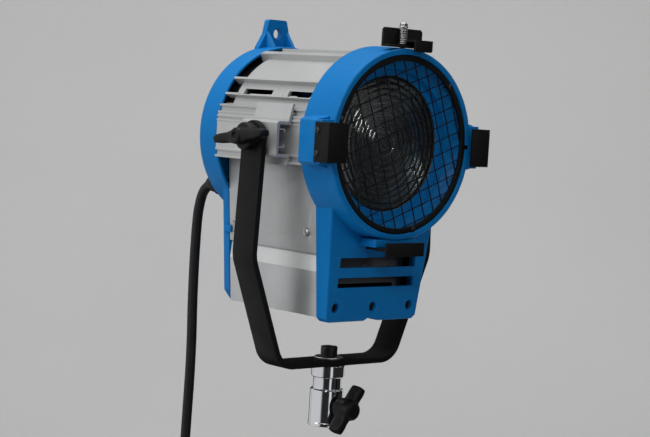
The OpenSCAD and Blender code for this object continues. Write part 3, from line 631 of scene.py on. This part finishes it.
def front_casting():
    prof = [(72.2, 0), (76.1, 0), (77, 0.9), (77.3, 8), (78.3, 32), (78.3, 35.4), (77.7, 36), (71, 36), (71, 31), (75, 31),
            (75, 9), (71.5, 9), (65.2, 15.6), (63, 15.6), (63, 21.2), (61, 21.2), (61, 31), (58.3, 31), (58.3, 20),
            (55.2, 20), (55.2, 18.6), (60, 18.6), (60.6, 13), (63.4, 13), (69.8, 6.4), (69.8, 5), (72.2, 5)]
    ring = rings_lathe(prof, 0.55, 224, corner=3)
    shell = sliced(leaning(outline(0, -44, True), 0, 36, 1.0, 1.5), range(-56, 60, 4), (-52, -56, -60, -65, -70, -75, -80, -84, -88, -104, -124, -129, -133.73, -138, -142))
    keep_out = cyl(0, 0, 71.4, -1, 40, 224)
    lower = build(shell, cuts=[keep_out])
    adds = [lower]
    for x in (-41, 0, 41):
        adds.append(cyl(x, -133.6, 5.6, 24.6, 30, 40))
    lug = build(rbox((66, 1, -17.5), (87.4, 6.9, 17.5), 0.6, 3),
                adds=[block([(66, -22), (85.5, -18.3), (88.6, -16.5), (88.6, 16.5), (85.5, 18.3), (66, 22)], 6.5, 26,
                            r=1.5, ends=0.9, segs=3)],
                cuts=[cyl(0, 0, 73.5, -2, 40, 224)])
    adds += both(lug)
    adds.append(rbox((-23, 1, -82.6), (23, 24, -76.2), 0.6, 3))
    hollow = build(sliced(leaning(outline(3, -62, False), 3, 40, 0.8), range(-52, 58, 7), (-70, -80, -88, -104, -124)),
                   cuts=[cyl(x, -133.6, 5.6, 20, 30.01, 40) for x in (-41, 0, 41)] +
                        [box((-23, 13, -91), (23, 24, -74)), cyl(0, 0, 62.5, -2, 45, 224)])
    cuts = [hollow]
    for z in (-96.8, -113.1):
        cuts.append(block([(-42, z - 4.1), (42, z - 4.1), (42, z + 4.1), (-42, z + 4.1)], 8, 30, r=0.7, ends=0))
    for x in (-41, 0, 41):
        cuts.append(lathe([(0, 10), (4.6, 10), (4.6, front_y(-133.6) + 0.1), (3.9, front_y(-133.6) + 0.9), (3.9, 27.9), (2.2, 27.9),
                           (2.2, 31), (0, 31)], 48, "y", (x, 0, -133.6), closed=False))
    for a in (44.5, 164.5, 284.5):
        cuts.append(cyl(69.9 * math.cos(rad(a)), 69.9 * math.sin(rad(a)), 1.27, 3, 8.6, 24))
    for z in (-9, 9):
        for sx in (-1, 1):
            cuts.append(lathe([(0, 78), (1.52, 78), (1.52, 92), (0, 92)] if sx > 0 else [(0, -92), (1.52, -92), (1.52, -78), (0, -78)],
                              24, "x", (0, 3.4, z), closed=False))
    for x in (-13, 13):
        cuts.append(lathe([(0, -84), (1.52, -84), (1.52, -77.6), (0, -77.6)], 24, "z", (x, 7, 0), closed=False))
    cuts.append(rbox((71.5, -1, -1.8), (75.4, 3.4, 1.8), 0.3))
    cuts.append(lathe([(0, 73.4), (2.02, 73.4), (2.02, 83), (0, 83)], 32, "z", (BOLT_X, 4.6, 0), closed=False))
    return build(ring, adds=adds, cuts=cuts)


bm = front_casting()
finish("front_housing", bm, "front_casting", smooth=30)

# ------------------------------------------------------------------ rear cover
def leg(inset):
    return [(-box_half(-40) + inset, -40), (-box_half(-134) + inset, -134), (-44 + inset / 2, -142 + inset),
            (44 - inset / 2, -142 + inset), (box_half(-134) - inset, -134), (box_half(-40) - inset, -40)]


def rear_cover():
    d0, d1 = 147, 172.5
    prof = [(73.2, d0), (74.8, d0), (75.4, d0 + 0.6), (75.4, 168), (74.1, 171.1), (71, d1), (54.6, d1), (54.6, 170.3),
            (50, 170.3), (50, 168.3), (68.2, 168.3), (71.8, 164.5), (71.8, 152)]
    drum = rings_lathe(prof, 0.6, 224, corner=4)
    wall = build(block(leg(0), 148, 156, r=1.2, ends=1.0, segs=3, which=(0, 1)), cuts=[cyl(0, 0, 71.9, 140, 160, 224)])
    adds = [wall]
    bh = box_half(-81)
    tab = rbox((bh + 0.4, 143, -84), (bh + 2.4, 152, -78), 0.5, 3)
    root = box((bh - 2.5, 148.2, -83.6), (bh + 2.2, 152, -78.4))
    adds += both(tab) + both(root)
    lugp = [(-21.5, 69), (-20, 74.5), (-13, 86), (-10.8, 97), (-9, 98.5), (8.4, 98.5), (9.8, 97), (12.8, 86), (20, 74.5), (21.5, 69)]
    lug = build(block(lugp, 164.6, 170.4, r=1.6, ends=0.7, segs=3), cuts=[cyl(0, 0, 70.5, 150, 180, 224)])
    adds.append(lug)
    for x in (-12.5, 9.5):
        adds.append(build(block([(152, 72.0), (169, 72.0), (169, 88), (164.6, 88)], x, x + 3, "x", r=0.5, ends=0.4),
                          cuts=[cyl(0, 0, 70.5, 140, 180, 224)]))
    hollow = build(block(leg(3), 146, 153, r=0.8, ends=0),
                   cuts=[cyl(0, 0, 75.2, 140, 160, 224)] + [cyl(x, -104, 6, 140, 160, 48) for x in (-30, 30)] +
                        [cyl(0, -104, 9, 140, 160, 48)] + [cyl(x, -131, 5, 140, 160, 48) for x in (-36, 36)])
    cuts = [hollow] + [cyl(x, -104, 3.02, 140, 154, 40) for x in (-30, 30)] + [cyl(0, -104, 4.06, 140, 165, 48)]
    cuts += [cyl(x, -131, 2.2, 140, 165, 32) for x in (-36, 36)]
    cuts += [cyl(-45, -46, 6.03, 160, 180, 48), lathe([(0, 160), (5.6, 160), (5.6, 163.8), (4.5, 164.9), (4.5, 170.1),
             (5.6, 171.2), (5.6, 178), (0, 178)], 48, "y", (0, 0, 86.5), closed=False)]
    more = [cyl(x, -104, 6, 150, 153.5, 48) for x in (-30, 30)]
    return build(drum, adds=adds, cuts=cuts)


bm = rear_cover()
finish("rear_housing", bm, "rear_cover", smooth=30)

# ------------------------------------------------------------------ yoke, socket, knobs
refine("yoke", 0.9, 3, 40, "yoke_bar", space=ROW)
for node, w in (("socket_washer", 0.25), ("socket_bolt", 0.35), ("pivot_bolt", 0.4), ("pivot_washers", 0.25),
                ("socket_clamp_stud", 0.5), ("tilt_lock_stud", 0.5)):
    refine(node, w, 2, 40, space=ROW)


def socket():
    o = 14
    prof = [(8.1, 0), (o + 0.4, 0), (o + 0.4, 2.6), (o, 3.2), (o, 30.2), (o - 0.8, 31), (11.8, 31), (11.8, 41), (o - 0.8, 41),
            (o, 41.8), (o, 50.7), (o - 0.8, 51.5), (5.06, 51.5), (5.06, 42), (8.1, 42)]
    body = rings_lathe(prof, 0.4, 160, "z", corner=3)
    hole = T(lathe([(0, 5), (4.06, 5), (4.06, 13.6), (5.0, 14.6), (5.0, 20), (0, 20)], 48, "z", closed=False),
             Matrix.Translation((0, 0, 17)) @ Matrix.Rotation(rad(90), 4, "X"))
    return build(body, cuts=[hole])


finish("spigot_socket", socket(), "socket", space=ROW, smooth=30)


def wing_knob(hub_r, hub_h, span, tip_z, blade, tip, bore, depth, flat, collar=1.0):
    """A moulded wing knob: two blades that sweep up from a round hub."""
    if collar < 1:
        parts = [lathe([(0, 0), (hub_r - 0.9, 0), (hub_r, 0.9), (hub_r, hub_h * collar - 0.9), (hub_r - 0.9, hub_h * collar),
                        (0, hub_h * collar)], 64, "z", closed=False),
                 lathe([(0, 1), (6.6, 1), (6.6, hub_h - 1.6), (5.2, hub_h - 0.2), (3.4, hub_h - 0.2), (2.6, hub_h - 1.6),
                        (0, hub_h - 1.9)], 64, "z", closed=False)]
    else:
        parts = [lathe([(0, 0), (hub_r - 0.9, 0), (hub_r, 0.9), (hub_r, hub_h * 0.62), (hub_r - 1.2, hub_h - 1.4),
                        (hub_r - 3.2, hub_h), (0, hub_h)], 64, "z", closed=False)]
    n = 32
    for s_ in (-1, 1):
        bmw = bmesh.new()
        rws, rows = [], 18
        x0, x1 = hub_r * 0.2, span - (1.2 if flat else tip * 0.7)
        for i in range(rows + 1):
            t = i / rows
            x = x0 + (x1 - x0) * t
            waist = math.sin(math.pi * min(1, t * 1.15)) ** 2
            ry = blade * 0.62 + (tip - blade * 0.62) * t - blade * 0.07 * waist
            lo = hub_h * 0.10 + (tip_z - hub_h * 0.30 - tip * 0.6 - hub_h * 0.10) * t ** 1.3
            hi = hub_h * 0.93 + (tip_z + tip * 0.9 - hub_h * 0.93) * t ** 1.5 - hub_h * 0.05 * waist
            c, rz = (lo + hi) / 2, (hi - lo) / 2
            rws.append((x, c, ry, rz, 1.0))
        for f in (0.3, 0.55, 0.75, 0.9, 0.98):
            x = x1 + (span - x1) * f
            g = math.sqrt(1 - f * f)
            _, c, ry, rz, _ = rws[rows]
            e = 1.2 if flat else tip * 0.7
            rws.append((x, c, max(0.2, ry - e * (1 - g)), max(0.2, rz - e * (1 - g)), 1.0))
        vs = [[bmw.verts.new((s_ * x, ry * math.copysign(abs(math.cos(a)) ** 0.62, math.cos(a)),
                              c + rz * math.copysign(abs(math.sin(a)) ** 0.62, math.sin(a))))
               for a in [2 * math.pi * (j + 0.5) / n for j in range(n)]] for x, c, ry, rz, _ in rws]
        for a_, b_ in zip(vs, vs[1:]):
            for j in range(n):
                bmw.faces.new((a_[j], a_[(j + 1) % n], b_[(j + 1) % n], b_[j]))
        bmw.faces.new(vs[0])
        bmw.faces.new(vs[-1])
        bmesh.ops.recalc_face_normals(bmw, faces=bmw.faces)
        parts.append(bmw)
    bm = soften(join(*parts), 0.45, 4)
    return build(bm, cuts=[lathe([(0, -1), (bore + 0.5, -1), (bore, 0.6), (bore, depth), (0, depth)], 40, "z", closed=False)])


finish("tilt_wing_knob", T(wing_knob(11, 16.5, 30.5, 11.5, 11, 3.4, 4.02, 12, False, 0.48),
       Matrix.Translation((-98.6, 0, 240)) @ Matrix.Rotation(rad(-90), 4, "Y") @ Matrix.Rotation(rad(98), 4, "Z")),
       "tilt_lock_knob", space=ROW, smooth=50)
finish("clamp_wing_knob", T(wing_knob(9, 18, 21.5, 11, 9, 4.5, 4.02, 12, True),
       Matrix.Translation((0, -17.5, 17)) @ Matrix.Rotation(rad(90), 4, "X") @ Matrix.Rotation(rad(55), 4, "Z")),
       "socket_clamp_knob", space=ROW, smooth=50)

# ------------------------------------------------------------------ lens and guard
def lens():
    """A stepped lens: each ring takes up the slope that a thick bulging lens has at that radius."""
    n_, R_, y0 = 11, 96.0, 21.2
    p = 54.8 / n_
    pts = [(0, 26.4), (57.2, 26.4), (58, 25.6), (58, 21), (55.2, 21)]
    for i in range(n_ - 1, -1, -1):
        ro, ri = p * (i + 1), p * (i + 0.07) if i else 0.0
        for k in range(7):
            r = ro + (ri - ro) * k / 6
            u = r - ri
            pts.append((r, y0 + (r * r - ri * ri) / (2 * R_) + 0.18 * (u * u / (ro - ri) - u)))
    out = [pts[0]]
    for q in pts[1:]:
        if abs(q[0] - out[-1][0]) + abs(q[1] - out[-1][1]) > 1e-4:
            out.append(q)
    bm = lathe(out, 224, "y", closed=False)
    return bm


glass_ob = finish("stepped_lens", lens(), "lens", smooth=14)
# painted shade: the steep riser faces of the lens take the dark matte finish
glass_ob.data.materials.append(M["lens_riser_painted_shade"])
for face in glass_ob.data.polygons:
    if abs(face.normal.y) < 0.62 and math.hypot(face.center.x, face.center.z - PZ * S) < 0.0550:
        face.material_index = 1
refine("lens_retainer", 0.3, 2, 40)
finish("guard_frame", build(rings_lathe([(67.2, 0.6), (71.6, 0.6), (71.6, 3.0), (67.2, 3.0)], 0.8, 200, corner=4),
       adds=[rbox((70.5, 0.7, -1.5), (75, 3.1, 1.5), 0.4)],
       cuts=[cyl(69.9 * math.cos(rad(a)), 69.9 * math.sin(rad(a)), 1.4, 0, 5, 24) for a in (44.5, 164.5, 284.5)]),
       "guard_ring", smooth=40)


def mesh_wires():
    bm = bmesh.new()
    ct, st = math.cos(rad(20)), math.sin(rad(20))
    R = 68.6
    for i in range(-6, 7):
        off = i * 11.0
        half = math.sqrt(R * R - off * off)
        for d in (0, 1):
            n = max(8, int(2 * half / 1.4))
            path = []
            for k in range(n + 1):
                t = -half + 2 * half * k / n
                # woven: the wires pass over and under one another
                w = 0.16 * math.cos(math.pi * t / 11.0) * (1 if (i + d) % 2 else -1)
                x, z = (off, t) if d else (t, off)
                path.append((x * ct - z * st, 4.2 + w, x * st + z * ct))
            tube(path, 0.50, 8, bm=bm)
    n = 220
    rows = []
    for k in range(n):
        c, s = math.cos(2 * math.pi * k / n), math.sin(2 * math.pi * k / n)
        rows.append([bm.verts.new(((69.6 + 1.5 * math.cos(a)) * c, 4.0 + 0.7 * math.sin(a), (69.6 + 1.5 * math.cos(a)) * s))
                     for a in [2 * math.pi * j / 12 for j in range(12)]])
    for k in range(n):
        a, b = rows[k], rows[(k + 1) % n]
        for j in range(12):
            bm.faces.new((a[j], a[(j + 1) % 12], b[(j + 1) % 12], b[j]))
    return bm


finish("guard_wires", mesh_wires(), "guard_mesh", smooth=60)


def pan_head(r, h, hole=0.0, slot="cross", sw=0.9, sd=0.8, shank=None, n=40):
    """Head stands on z = 0 and points up; the shank runs down."""
    pts = [(0, 0), (r, 0), (r, h * 0.25)]
    for k in range(1, 7):
        a = k / 6 * math.pi / 2
        pts.append((r * (0.35 + 0.65 * math.cos(a)), h * 0.25 + h * 0.75 * math.sin(a)))
    pts.append((0, h))
    bm = lathe(pts, n, "z", closed=False)
    cuts = []
    if slot == "cross":
        for a in (0, 90):
            cuts.append(T(box((-r * 0.55, -sw / 2, h - sd), (r * 0.55, sw / 2, h + 1)), Matrix.Rotation(rad(a + 20), 4, "Z")))
    elif slot == "slot":
        cuts.append(T(box((-r * 1.2, -sw / 2, h - sd), (r * 1.2, sw / 2, h + 1)), Matrix.Rotation(rad(35), 4, "Z")))
    elif slot == "hex":
        cuts.append(lathe([(0, h - sd), (sw, h - sd), (sw, h + 1), (0, h + 1)], 6, "z", closed=False))
    bm = build(bm, cuts=cuts)
    if shank:
        bm = build(bm, adds=[lathe([(0, -shank[1]), (shank[0], -shank[1]), (shank[0], 0.2), (0, 0.2)], 24, "z", closed=False)])
    return bm


def place(bm, at, direction):
    q = Vector((0, 0, 1)).rotation_difference(Vector(direction))
    return T(bm, Matrix.Translation(at) @ q.to_matrix().to_4x4())


finish("guard_ring_screws", join(*[place(pan_head(2.2, 1.25, slot="slot", sw=0.5, sd=0.5, shank=(1.25, 8)),
       (69.9 * math.cos(rad(a)), 0.58, 69.9 * math.sin(rad(a))), (0, -1, 0)) for a in (44.5, 164.5, 284.5)]),
       "guard_screws", smooth=35)
finish("side_panel_screws", join(*[place(pan_head(3.3, 1.85, sw=0.8, sd=0.9, shank=(2, 8)),
       (sx * (box_half(-74.2) + 0.35), y, -74.2), (sx, 0, 0)) for sx in (-1, 1) for y in (47, 138)]),
       "panel_screws", smooth=35)
finish("rear_cover_screws", join(*[place(pan_head(3.6, 2.15, sw=0.9, sd=1.0, shank=(2, 12)), (x, 156.02, -131), (0, 1, 0))
       for x in (-36, 36)]), "rear_screws", smooth=35)
finish("front_foot_screws", join(*[place(pan_head(3.5, 2.0, slot="hex", sw=1.7, sd=1.4, shank=(2, 10)), (x, 27.86, -133.6), (0, -1, 0))
       for x in (-41, 0, 41)]), "front_screws", smooth=35)
finish("clip_fixings", join(*([place(pan_head(2.6, 1.05, slot="cross", sw=0.6, sd=0.55, shank=(1.5, 7)), (sx * 89.54, 3.4, z), (sx, 0, 0))
       for sx in (-1, 1) for z in (-9, 9)] +
       [place(pan_head(2.7, 1.35, slot="cross", sw=0.6, sd=0.6, shank=(1.5, 7)), (x, 7, -84.83), (0, 0, -1)) for x in (-13, 13)])),
       "clip_screws", smooth=35)

# ------------------------------------------------------------------ clips, latch
for n_ in ("clip_left", "clip_right", "clip_bottom"):
    refine(n_, 0.35, 2, 50)
refine("top_latch", 0.3, 2, 50)


def latch_bolt():
    o = (BOLT_X, 4.6, 0)
    a = lathe([(0, 73.7), (1.6, 73.7), (2, 74.1), (2, 94), (0, 94)], 40, "z", o, closed=False)
    w = rings_lathe([(1.0, 93.3), (3.7, 93.3), (3.7, 94.3), (1.0, 94.3)], 0.25, 48, "z", o, 3)
    nut = lathe([(0, 94.3), (3.3, 94.3), (3.3, 96.7), (2.8, 97.2), (0, 97.2)], 6, "z", o, closed=False)
    return join(a, w, nut)


bolt_ob = finish("latch_bolt_made", latch_bolt(), "latch_bolt", smooth=30)
bolt_ob.data.materials.append(M["black_screw"])     # the shank takes the dark black_screw finish, the nut and washer keep the piece's own finish
for face in bolt_ob.data.polygons:
    if face.center.z < (93.2 + PZ) * S:
        face.material_index = 1


def spring():
    turns, z0, z1 = 8, 80.1, 92.65
    n = turns * 28
    path = []
    for k in range(n + 1):
        u = k / n * turns
        h = np.interp(u, [0, 0.8, turns - 0.8, turns], [0, 0.08, 0.92, 1.0])
        a = 2 * math.pi * u
        path.append((BOLT_X + 3.05 * math.cos(a), 4.6 + 3.05 * math.sin(a), z0 + (z1 - z0) * h))
    return tube(path, 0.46, 12)


sp = finish("latch_coil_spring", spring(), "latch_spring", smooth=60)
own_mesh(sp)

# ------------------------------------------------------------------ mains lead
pts = [(-45, 160, -46), (-45, 186, -46.2), (-45, 193.5, -49), (-45, 199.6, -55), (-45, 203.6, -66), (-45, 205.8, -82),
       (-45, 206.6, -115), (-45, 206, -150), (-45, 204.4, -185), (-45, 204.2, -215), (-45, 205.0, -250), (-45, 206, -289)]
path = smooth_path(pts, 1.6)
lead = finish("mains_lead_cable", tube(path, 4.35, 28), mat="lead_rubber", body="free", smooth=80)
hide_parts("lead_upper", "lead_lower")
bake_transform(lead)
tail = finish("mains_lead_tail", tube([(-45, 206, -343.5), (-45, 206, -336), (-45, 206, -322)], 4.35, 28), mat="lead_rubber",
              body="mains_lead", smooth=80)

# ------------------------------------------------------------------ everything else
finish("focus_nut_made", rings_lathe([(4.3, 72.08), (9.5, 72.08), (9.5, 73.98), (7, 73.98), (7, 97.9), (4.3, 97.9)], 0.35, 64, "y",
                                     (0, 0, -104), 3), "carriage_nut", smooth=40)
for n_, w_ in (("side_panel_left", 0.25), ("side_panel_right", 0.25), ("bottom_plate", 0.2), ("switch_case_front", 0.8),
               ("switch_case_back", 0.8), ("switch_rocker", 0.3), ("lamp_holder", 0.4), ("lamp_base", 0.4),
               ("terminal_block", 0.5), ("lamp_carriage", 0.5)):
    refine(n_, w_, 2, 40)

def paint_shade_inside_and_band_highlight(ob, limit=68.4):
    """Paints shade: inward faces of the body lie in shade inside the housing and take the black heat_steel finish as
    painted shade; the sloping band of a side panel is left bright, a painted highlight where it faces up.
    """
    me = ob.data
    # slot 1 is black, for painted shade inside the housing; slot 2 is a brighter silver, for the band's painted
    # highlight
    me.materials.append(M["heat_steel"])
    me.materials.append(M["silver_band_painted_highlight"])
    me.materials.append(M["silver_lower"])
    for p in me.polygons:
        x, z = p.center.x / S, p.center.z / S - PZ
        if limit:
            # painted shade: inward faces within the limit radius of the axis turn black
            if p.normal.x * x + p.normal.z * z < 0 and math.hypot(x, z) < limit:
                p.material_index = 1
        # painted shade: inward faces of a side panel turn black, all but the seam strip
        elif p.normal.x * x < -0.3 * abs(x) and not -92.6 < z < -90.4:
            p.material_index = 1
        # painted highlight: the sloping band takes the brighter band finish
        elif -106 < z < -92.3 and abs(p.normal.z) > 0.05 and p.normal.x * x > 0:
            p.material_index = 2
        elif z < -105 and p.normal.x * x > 0.5 * abs(x):
            p.material_index = 3


for name, ob in NODES.items():
    if ob.hide_render:
        continue
    me = ob.data
    for p in me.polygons:
        p.use_smooth = True
    me.set_sharp_from_angle(angle=rad(30))
    me.materials.clear()
    me.materials.append(M[SLOT[name]])
    if name == "body_shell":
        paint_shade_inside_and_band_highlight(ob)
for name in ("side_panel_left_made", "side_panel_right_made"):
    paint_shade_inside_and_band_highlight(bpy.data.objects[name], 0)

# ------------------------------------------------------------------ camera
back = Vector((-0.66501, -0.74354, 0.070087))
right = Vector((0.74537, -0.66665, 0.0))
up = back.cross(right)
roll = rad(-3.480)
r2 = math.cos(roll) * right - math.sin(roll) * up
u2 = math.sin(roll) * right + math.cos(roll) * up
cam = bpy.data.cameras.new("camera")
cam.sensor_fit = "HORIZONTAL"
cam.sensor_width = 36
cam.lens = 95.82
cam.clip_start, cam.clip_end = 0.05, 50
cam_ob = bpy.data.objects.new("camera", cam)
scene.collection.objects.link(cam_ob)
cam_ob.matrix_world = Matrix((( r2.x, u2.x, back.x, -0.9688), (r2.y, u2.y, back.y, -1.0680), (r2.z, u2.z, back.z, 0.2748), (0, 0, 0, 1)))
scene.camera = cam_ob

# ------------------------------------------------------------------ stage
def stage_mat():
    m = Mat("studio_backdrop")
    big = m.noise(0.9, 3)
    col = m.mix(m.map(big, 0.25, 0.75), (0.475, 0.475, 0.472), (0.525, 0.522, 0.518))
    spots = m.map(m.noise(60, 5, 0.75), 0.66, 0.74)
    col = m.mix(m.math("MULTIPLY", spots, 0.10), col, (0.33, 0.32, 0.31))
    m.set(Base_Color=col, Roughness=0.85, Specular_IOR_Level=0.2, Normal=m.bump(m.noise(140, 4), 0.15, 0.002))
    return m.m


def cyclorama():
    """A floor that curves up into a wall, seen by the camera as an even pale field."""
    fwd = Vector((-back.x, -back.y, 0)).normalized()
    side = Vector((fwd.y, -fwd.x, 0))
    centre = Vector((0, 0.05, -0.36))
    prof = [(-0.9, 0.0)]
    d, r_ = 1.5, 1.1
    for k in range(25):
        a = k / 24 * math.pi / 2
        prof.append((d + r_ * math.sin(a), r_ * (1 - math.cos(a))))
    prof.append((d + r_, 4.5))
    bm = bmesh.new()
    rows = []
    for s_ in (-5.0, 5.0):
        rows.append([bm.verts.new(centre + fwd * t + side * s_ + Vector((0, 0, z))) for t, z in prof])
    for a_, b_, c_, d_ in zip(rows[0], rows[0][1:], rows[1][1:], rows[1]):
        bm.faces.new((a_, b_, c_, d_))
    me = bpy.data.meshes.new("backdrop")
    bmesh.ops.recalc_face_normals(bm, faces=bm.faces)
    bm.to_mesh(me)
    bm.free()
    for p in me.polygons:
        p.use_smooth = True
    me.materials.append(stage_mat())
    ob = bpy.data.objects.new("backdrop", me)
    scene.collection.objects.link(ob)
    return ob


backdrop = cyclorama()
backdrop.visible_glossy = False

fwd = Vector((-back.x, -back.y, 0)).normalized()
side = Vector((fwd.y, -fwd.x, 0))       # to the picture's right
aim = Vector((0, 0, 0.2))


def at(r, f, z):
    return aim + side * r + fwd * f + Vector((0, 0, z))


def studio_world():
    """Pale to the camera, a soft even field for diffuse light, and a studio with dark parts for reflections."""
    w = bpy.data.worlds.new("studio")
    scene.world = w
    w.use_nodes = True
    nt = w.node_tree
    nt.nodes.clear()
    new, link = nt.nodes.new, nt.links.new
    co = new("ShaderNodeTexCoord").outputs["Generated"]

    def dot(v):
        n = new("ShaderNodeVectorMath")
        n.operation = "DOT_PRODUCT"
        link(co, n.inputs[0])
        n.inputs[1].default_value = tuple(v)
        return n.outputs["Value"]

    def band(v, a, b, lo, hi):
        n = new("ShaderNodeMapRange")
        n.interpolation_type = "SMOOTHSTEP"
        link(v, n.inputs[0])
        for k, x in enumerate((a, b, lo, hi)):
            n.inputs[k + 1].default_value = x
        return n.outputs[0]

    def op(kind, a, b):
        n = new("ShaderNodeMath")
        n.operation = kind
        for k, x in enumerate((a, b)):
            if isinstance(x, bpy.types.NodeSocket):
                link(x, n.inputs[k])
            else:
                n.inputs[k].default_value = x
        return n.outputs[0]

    up_, right_ = dot((0, 0, 1)), dot(side)
    top = band(up_, 0.25, 0.75, 0.0, 1.0)
    left = band(right_, -0.42, -0.62, 0.0, 1.0)
    slot = op("MULTIPLY", band(right_, 0.30, 0.38, 0.0, 1.0), band(right_, 0.62, 0.52, 0.0, 1.0))
    v = op("MAXIMUM", op("MAXIMUM", op("MULTIPLY", top, 0.34), op("MULTIPLY", left, 0.62)), op("MULTIPLY", slot, 0.75))
    v = op("ADD", v, 0.02)
    lp = new("ShaderNodeLightPath")
    refl = new("ShaderNodeBackground")
    tint = new("ShaderNodeCombineColor")
    link(v, tint.inputs[0])
    link(op("MULTIPLY", v, 1.01), tint.inputs[1])
    link(op("MULTIPLY", v, 1.04), tint.inputs[2])
    link(tint.outputs[0], refl.inputs[0])
    soft = new("ShaderNodeBackground")
    amb = op("ADD", op("MULTIPLY", band(up_, -0.1, 1.0, 0.0, 1.0), 0.16), op("MULTIPLY", band(right_, 0.35, -0.95, 0.0, 1.0), 0.46))
    amb = op("ADD", amb, 0.06)
    cool = new("ShaderNodeCombineColor")
    link(op("MULTIPLY", amb, 0.93), cool.inputs[0])
    link(op("MULTIPLY", amb, 0.96), cool.inputs[1])
    link(amb, cool.inputs[2])
    link(cool.outputs[0], soft.inputs[0])
    seen = new("ShaderNodeBackground")
    seen.inputs[0].default_value = (0.50, 0.505, 0.51, 1)
    m1, m2 = new("ShaderNodeMixShader"), new("ShaderNodeMixShader")
    link(lp.outputs["Is Glossy Ray"], m1.inputs[0])
    link(soft.outputs[0], m1.inputs[1])
    link(refl.outputs[0], m1.inputs[2])
    link(lp.outputs["Is Camera Ray"], m2.inputs[0])
    link(m1.outputs[0], m2.inputs[1])
    link(seen.outputs[0], m2.inputs[2])
    out = new("ShaderNodeOutputWorld")
    link(m2.outputs[0], out.inputs[0])


studio_world()


def area(name, at, aim, size, power, colour=(1, 1, 1), size_y=None):
    l = bpy.data.lights.new(name, "AREA")
    l.energy, l.color, l.size = power, colour, size
    if size_y:
        l.shape, l.size_y = "RECTANGLE", size_y
    o = bpy.data.objects.new(name, l)
    scene.collection.objects.link(o)
    o.location = at
    o.rotation_euler = (Vector(aim) - Vector(at)).to_track_quat("-Z", "Y").to_euler()
    return o


area("key", at(-0.7, -0.5, 1.9), aim, 1.5, 10.5, (1.0, 0.99, 0.975), 1.2)
area("left_fill", at(-1.9, -1.0, 0.8), aim, 1.0, 12, (0.98, 0.99, 1.0), 1.4)
area("front_top", at(-0.1, -1.7, 1.1), aim, 0.5, 8, (1.0, 0.995, 0.98), 0.4)
area("right_fill", at(1.9, -0.9, 0.8), aim, 1.0, 0.8, (0.97, 0.985, 1.0), 1.4)
glare = area("lens_glare", Vector((0.10, -0.09, 0.255)) + Vector((0.20, -0.94, 0.21)) * 1.6, (0, -0.05, 0.24), 0.16, 1.4, (1, 1, 1), 0.36)
area("wall_wash", at(0, 0.6, 2.4), at(0, 2.4, 0.2), 2.4, 54, (1.0, 0.995, 0.985), 1.0)

scene.view_settings.view_transform = "Standard"
scene.view_settings.look = "None"
scene.view_settings.exposure = 0.0
scene.view_settings.gamma = 1.0

bpy.context.view_layer.update()
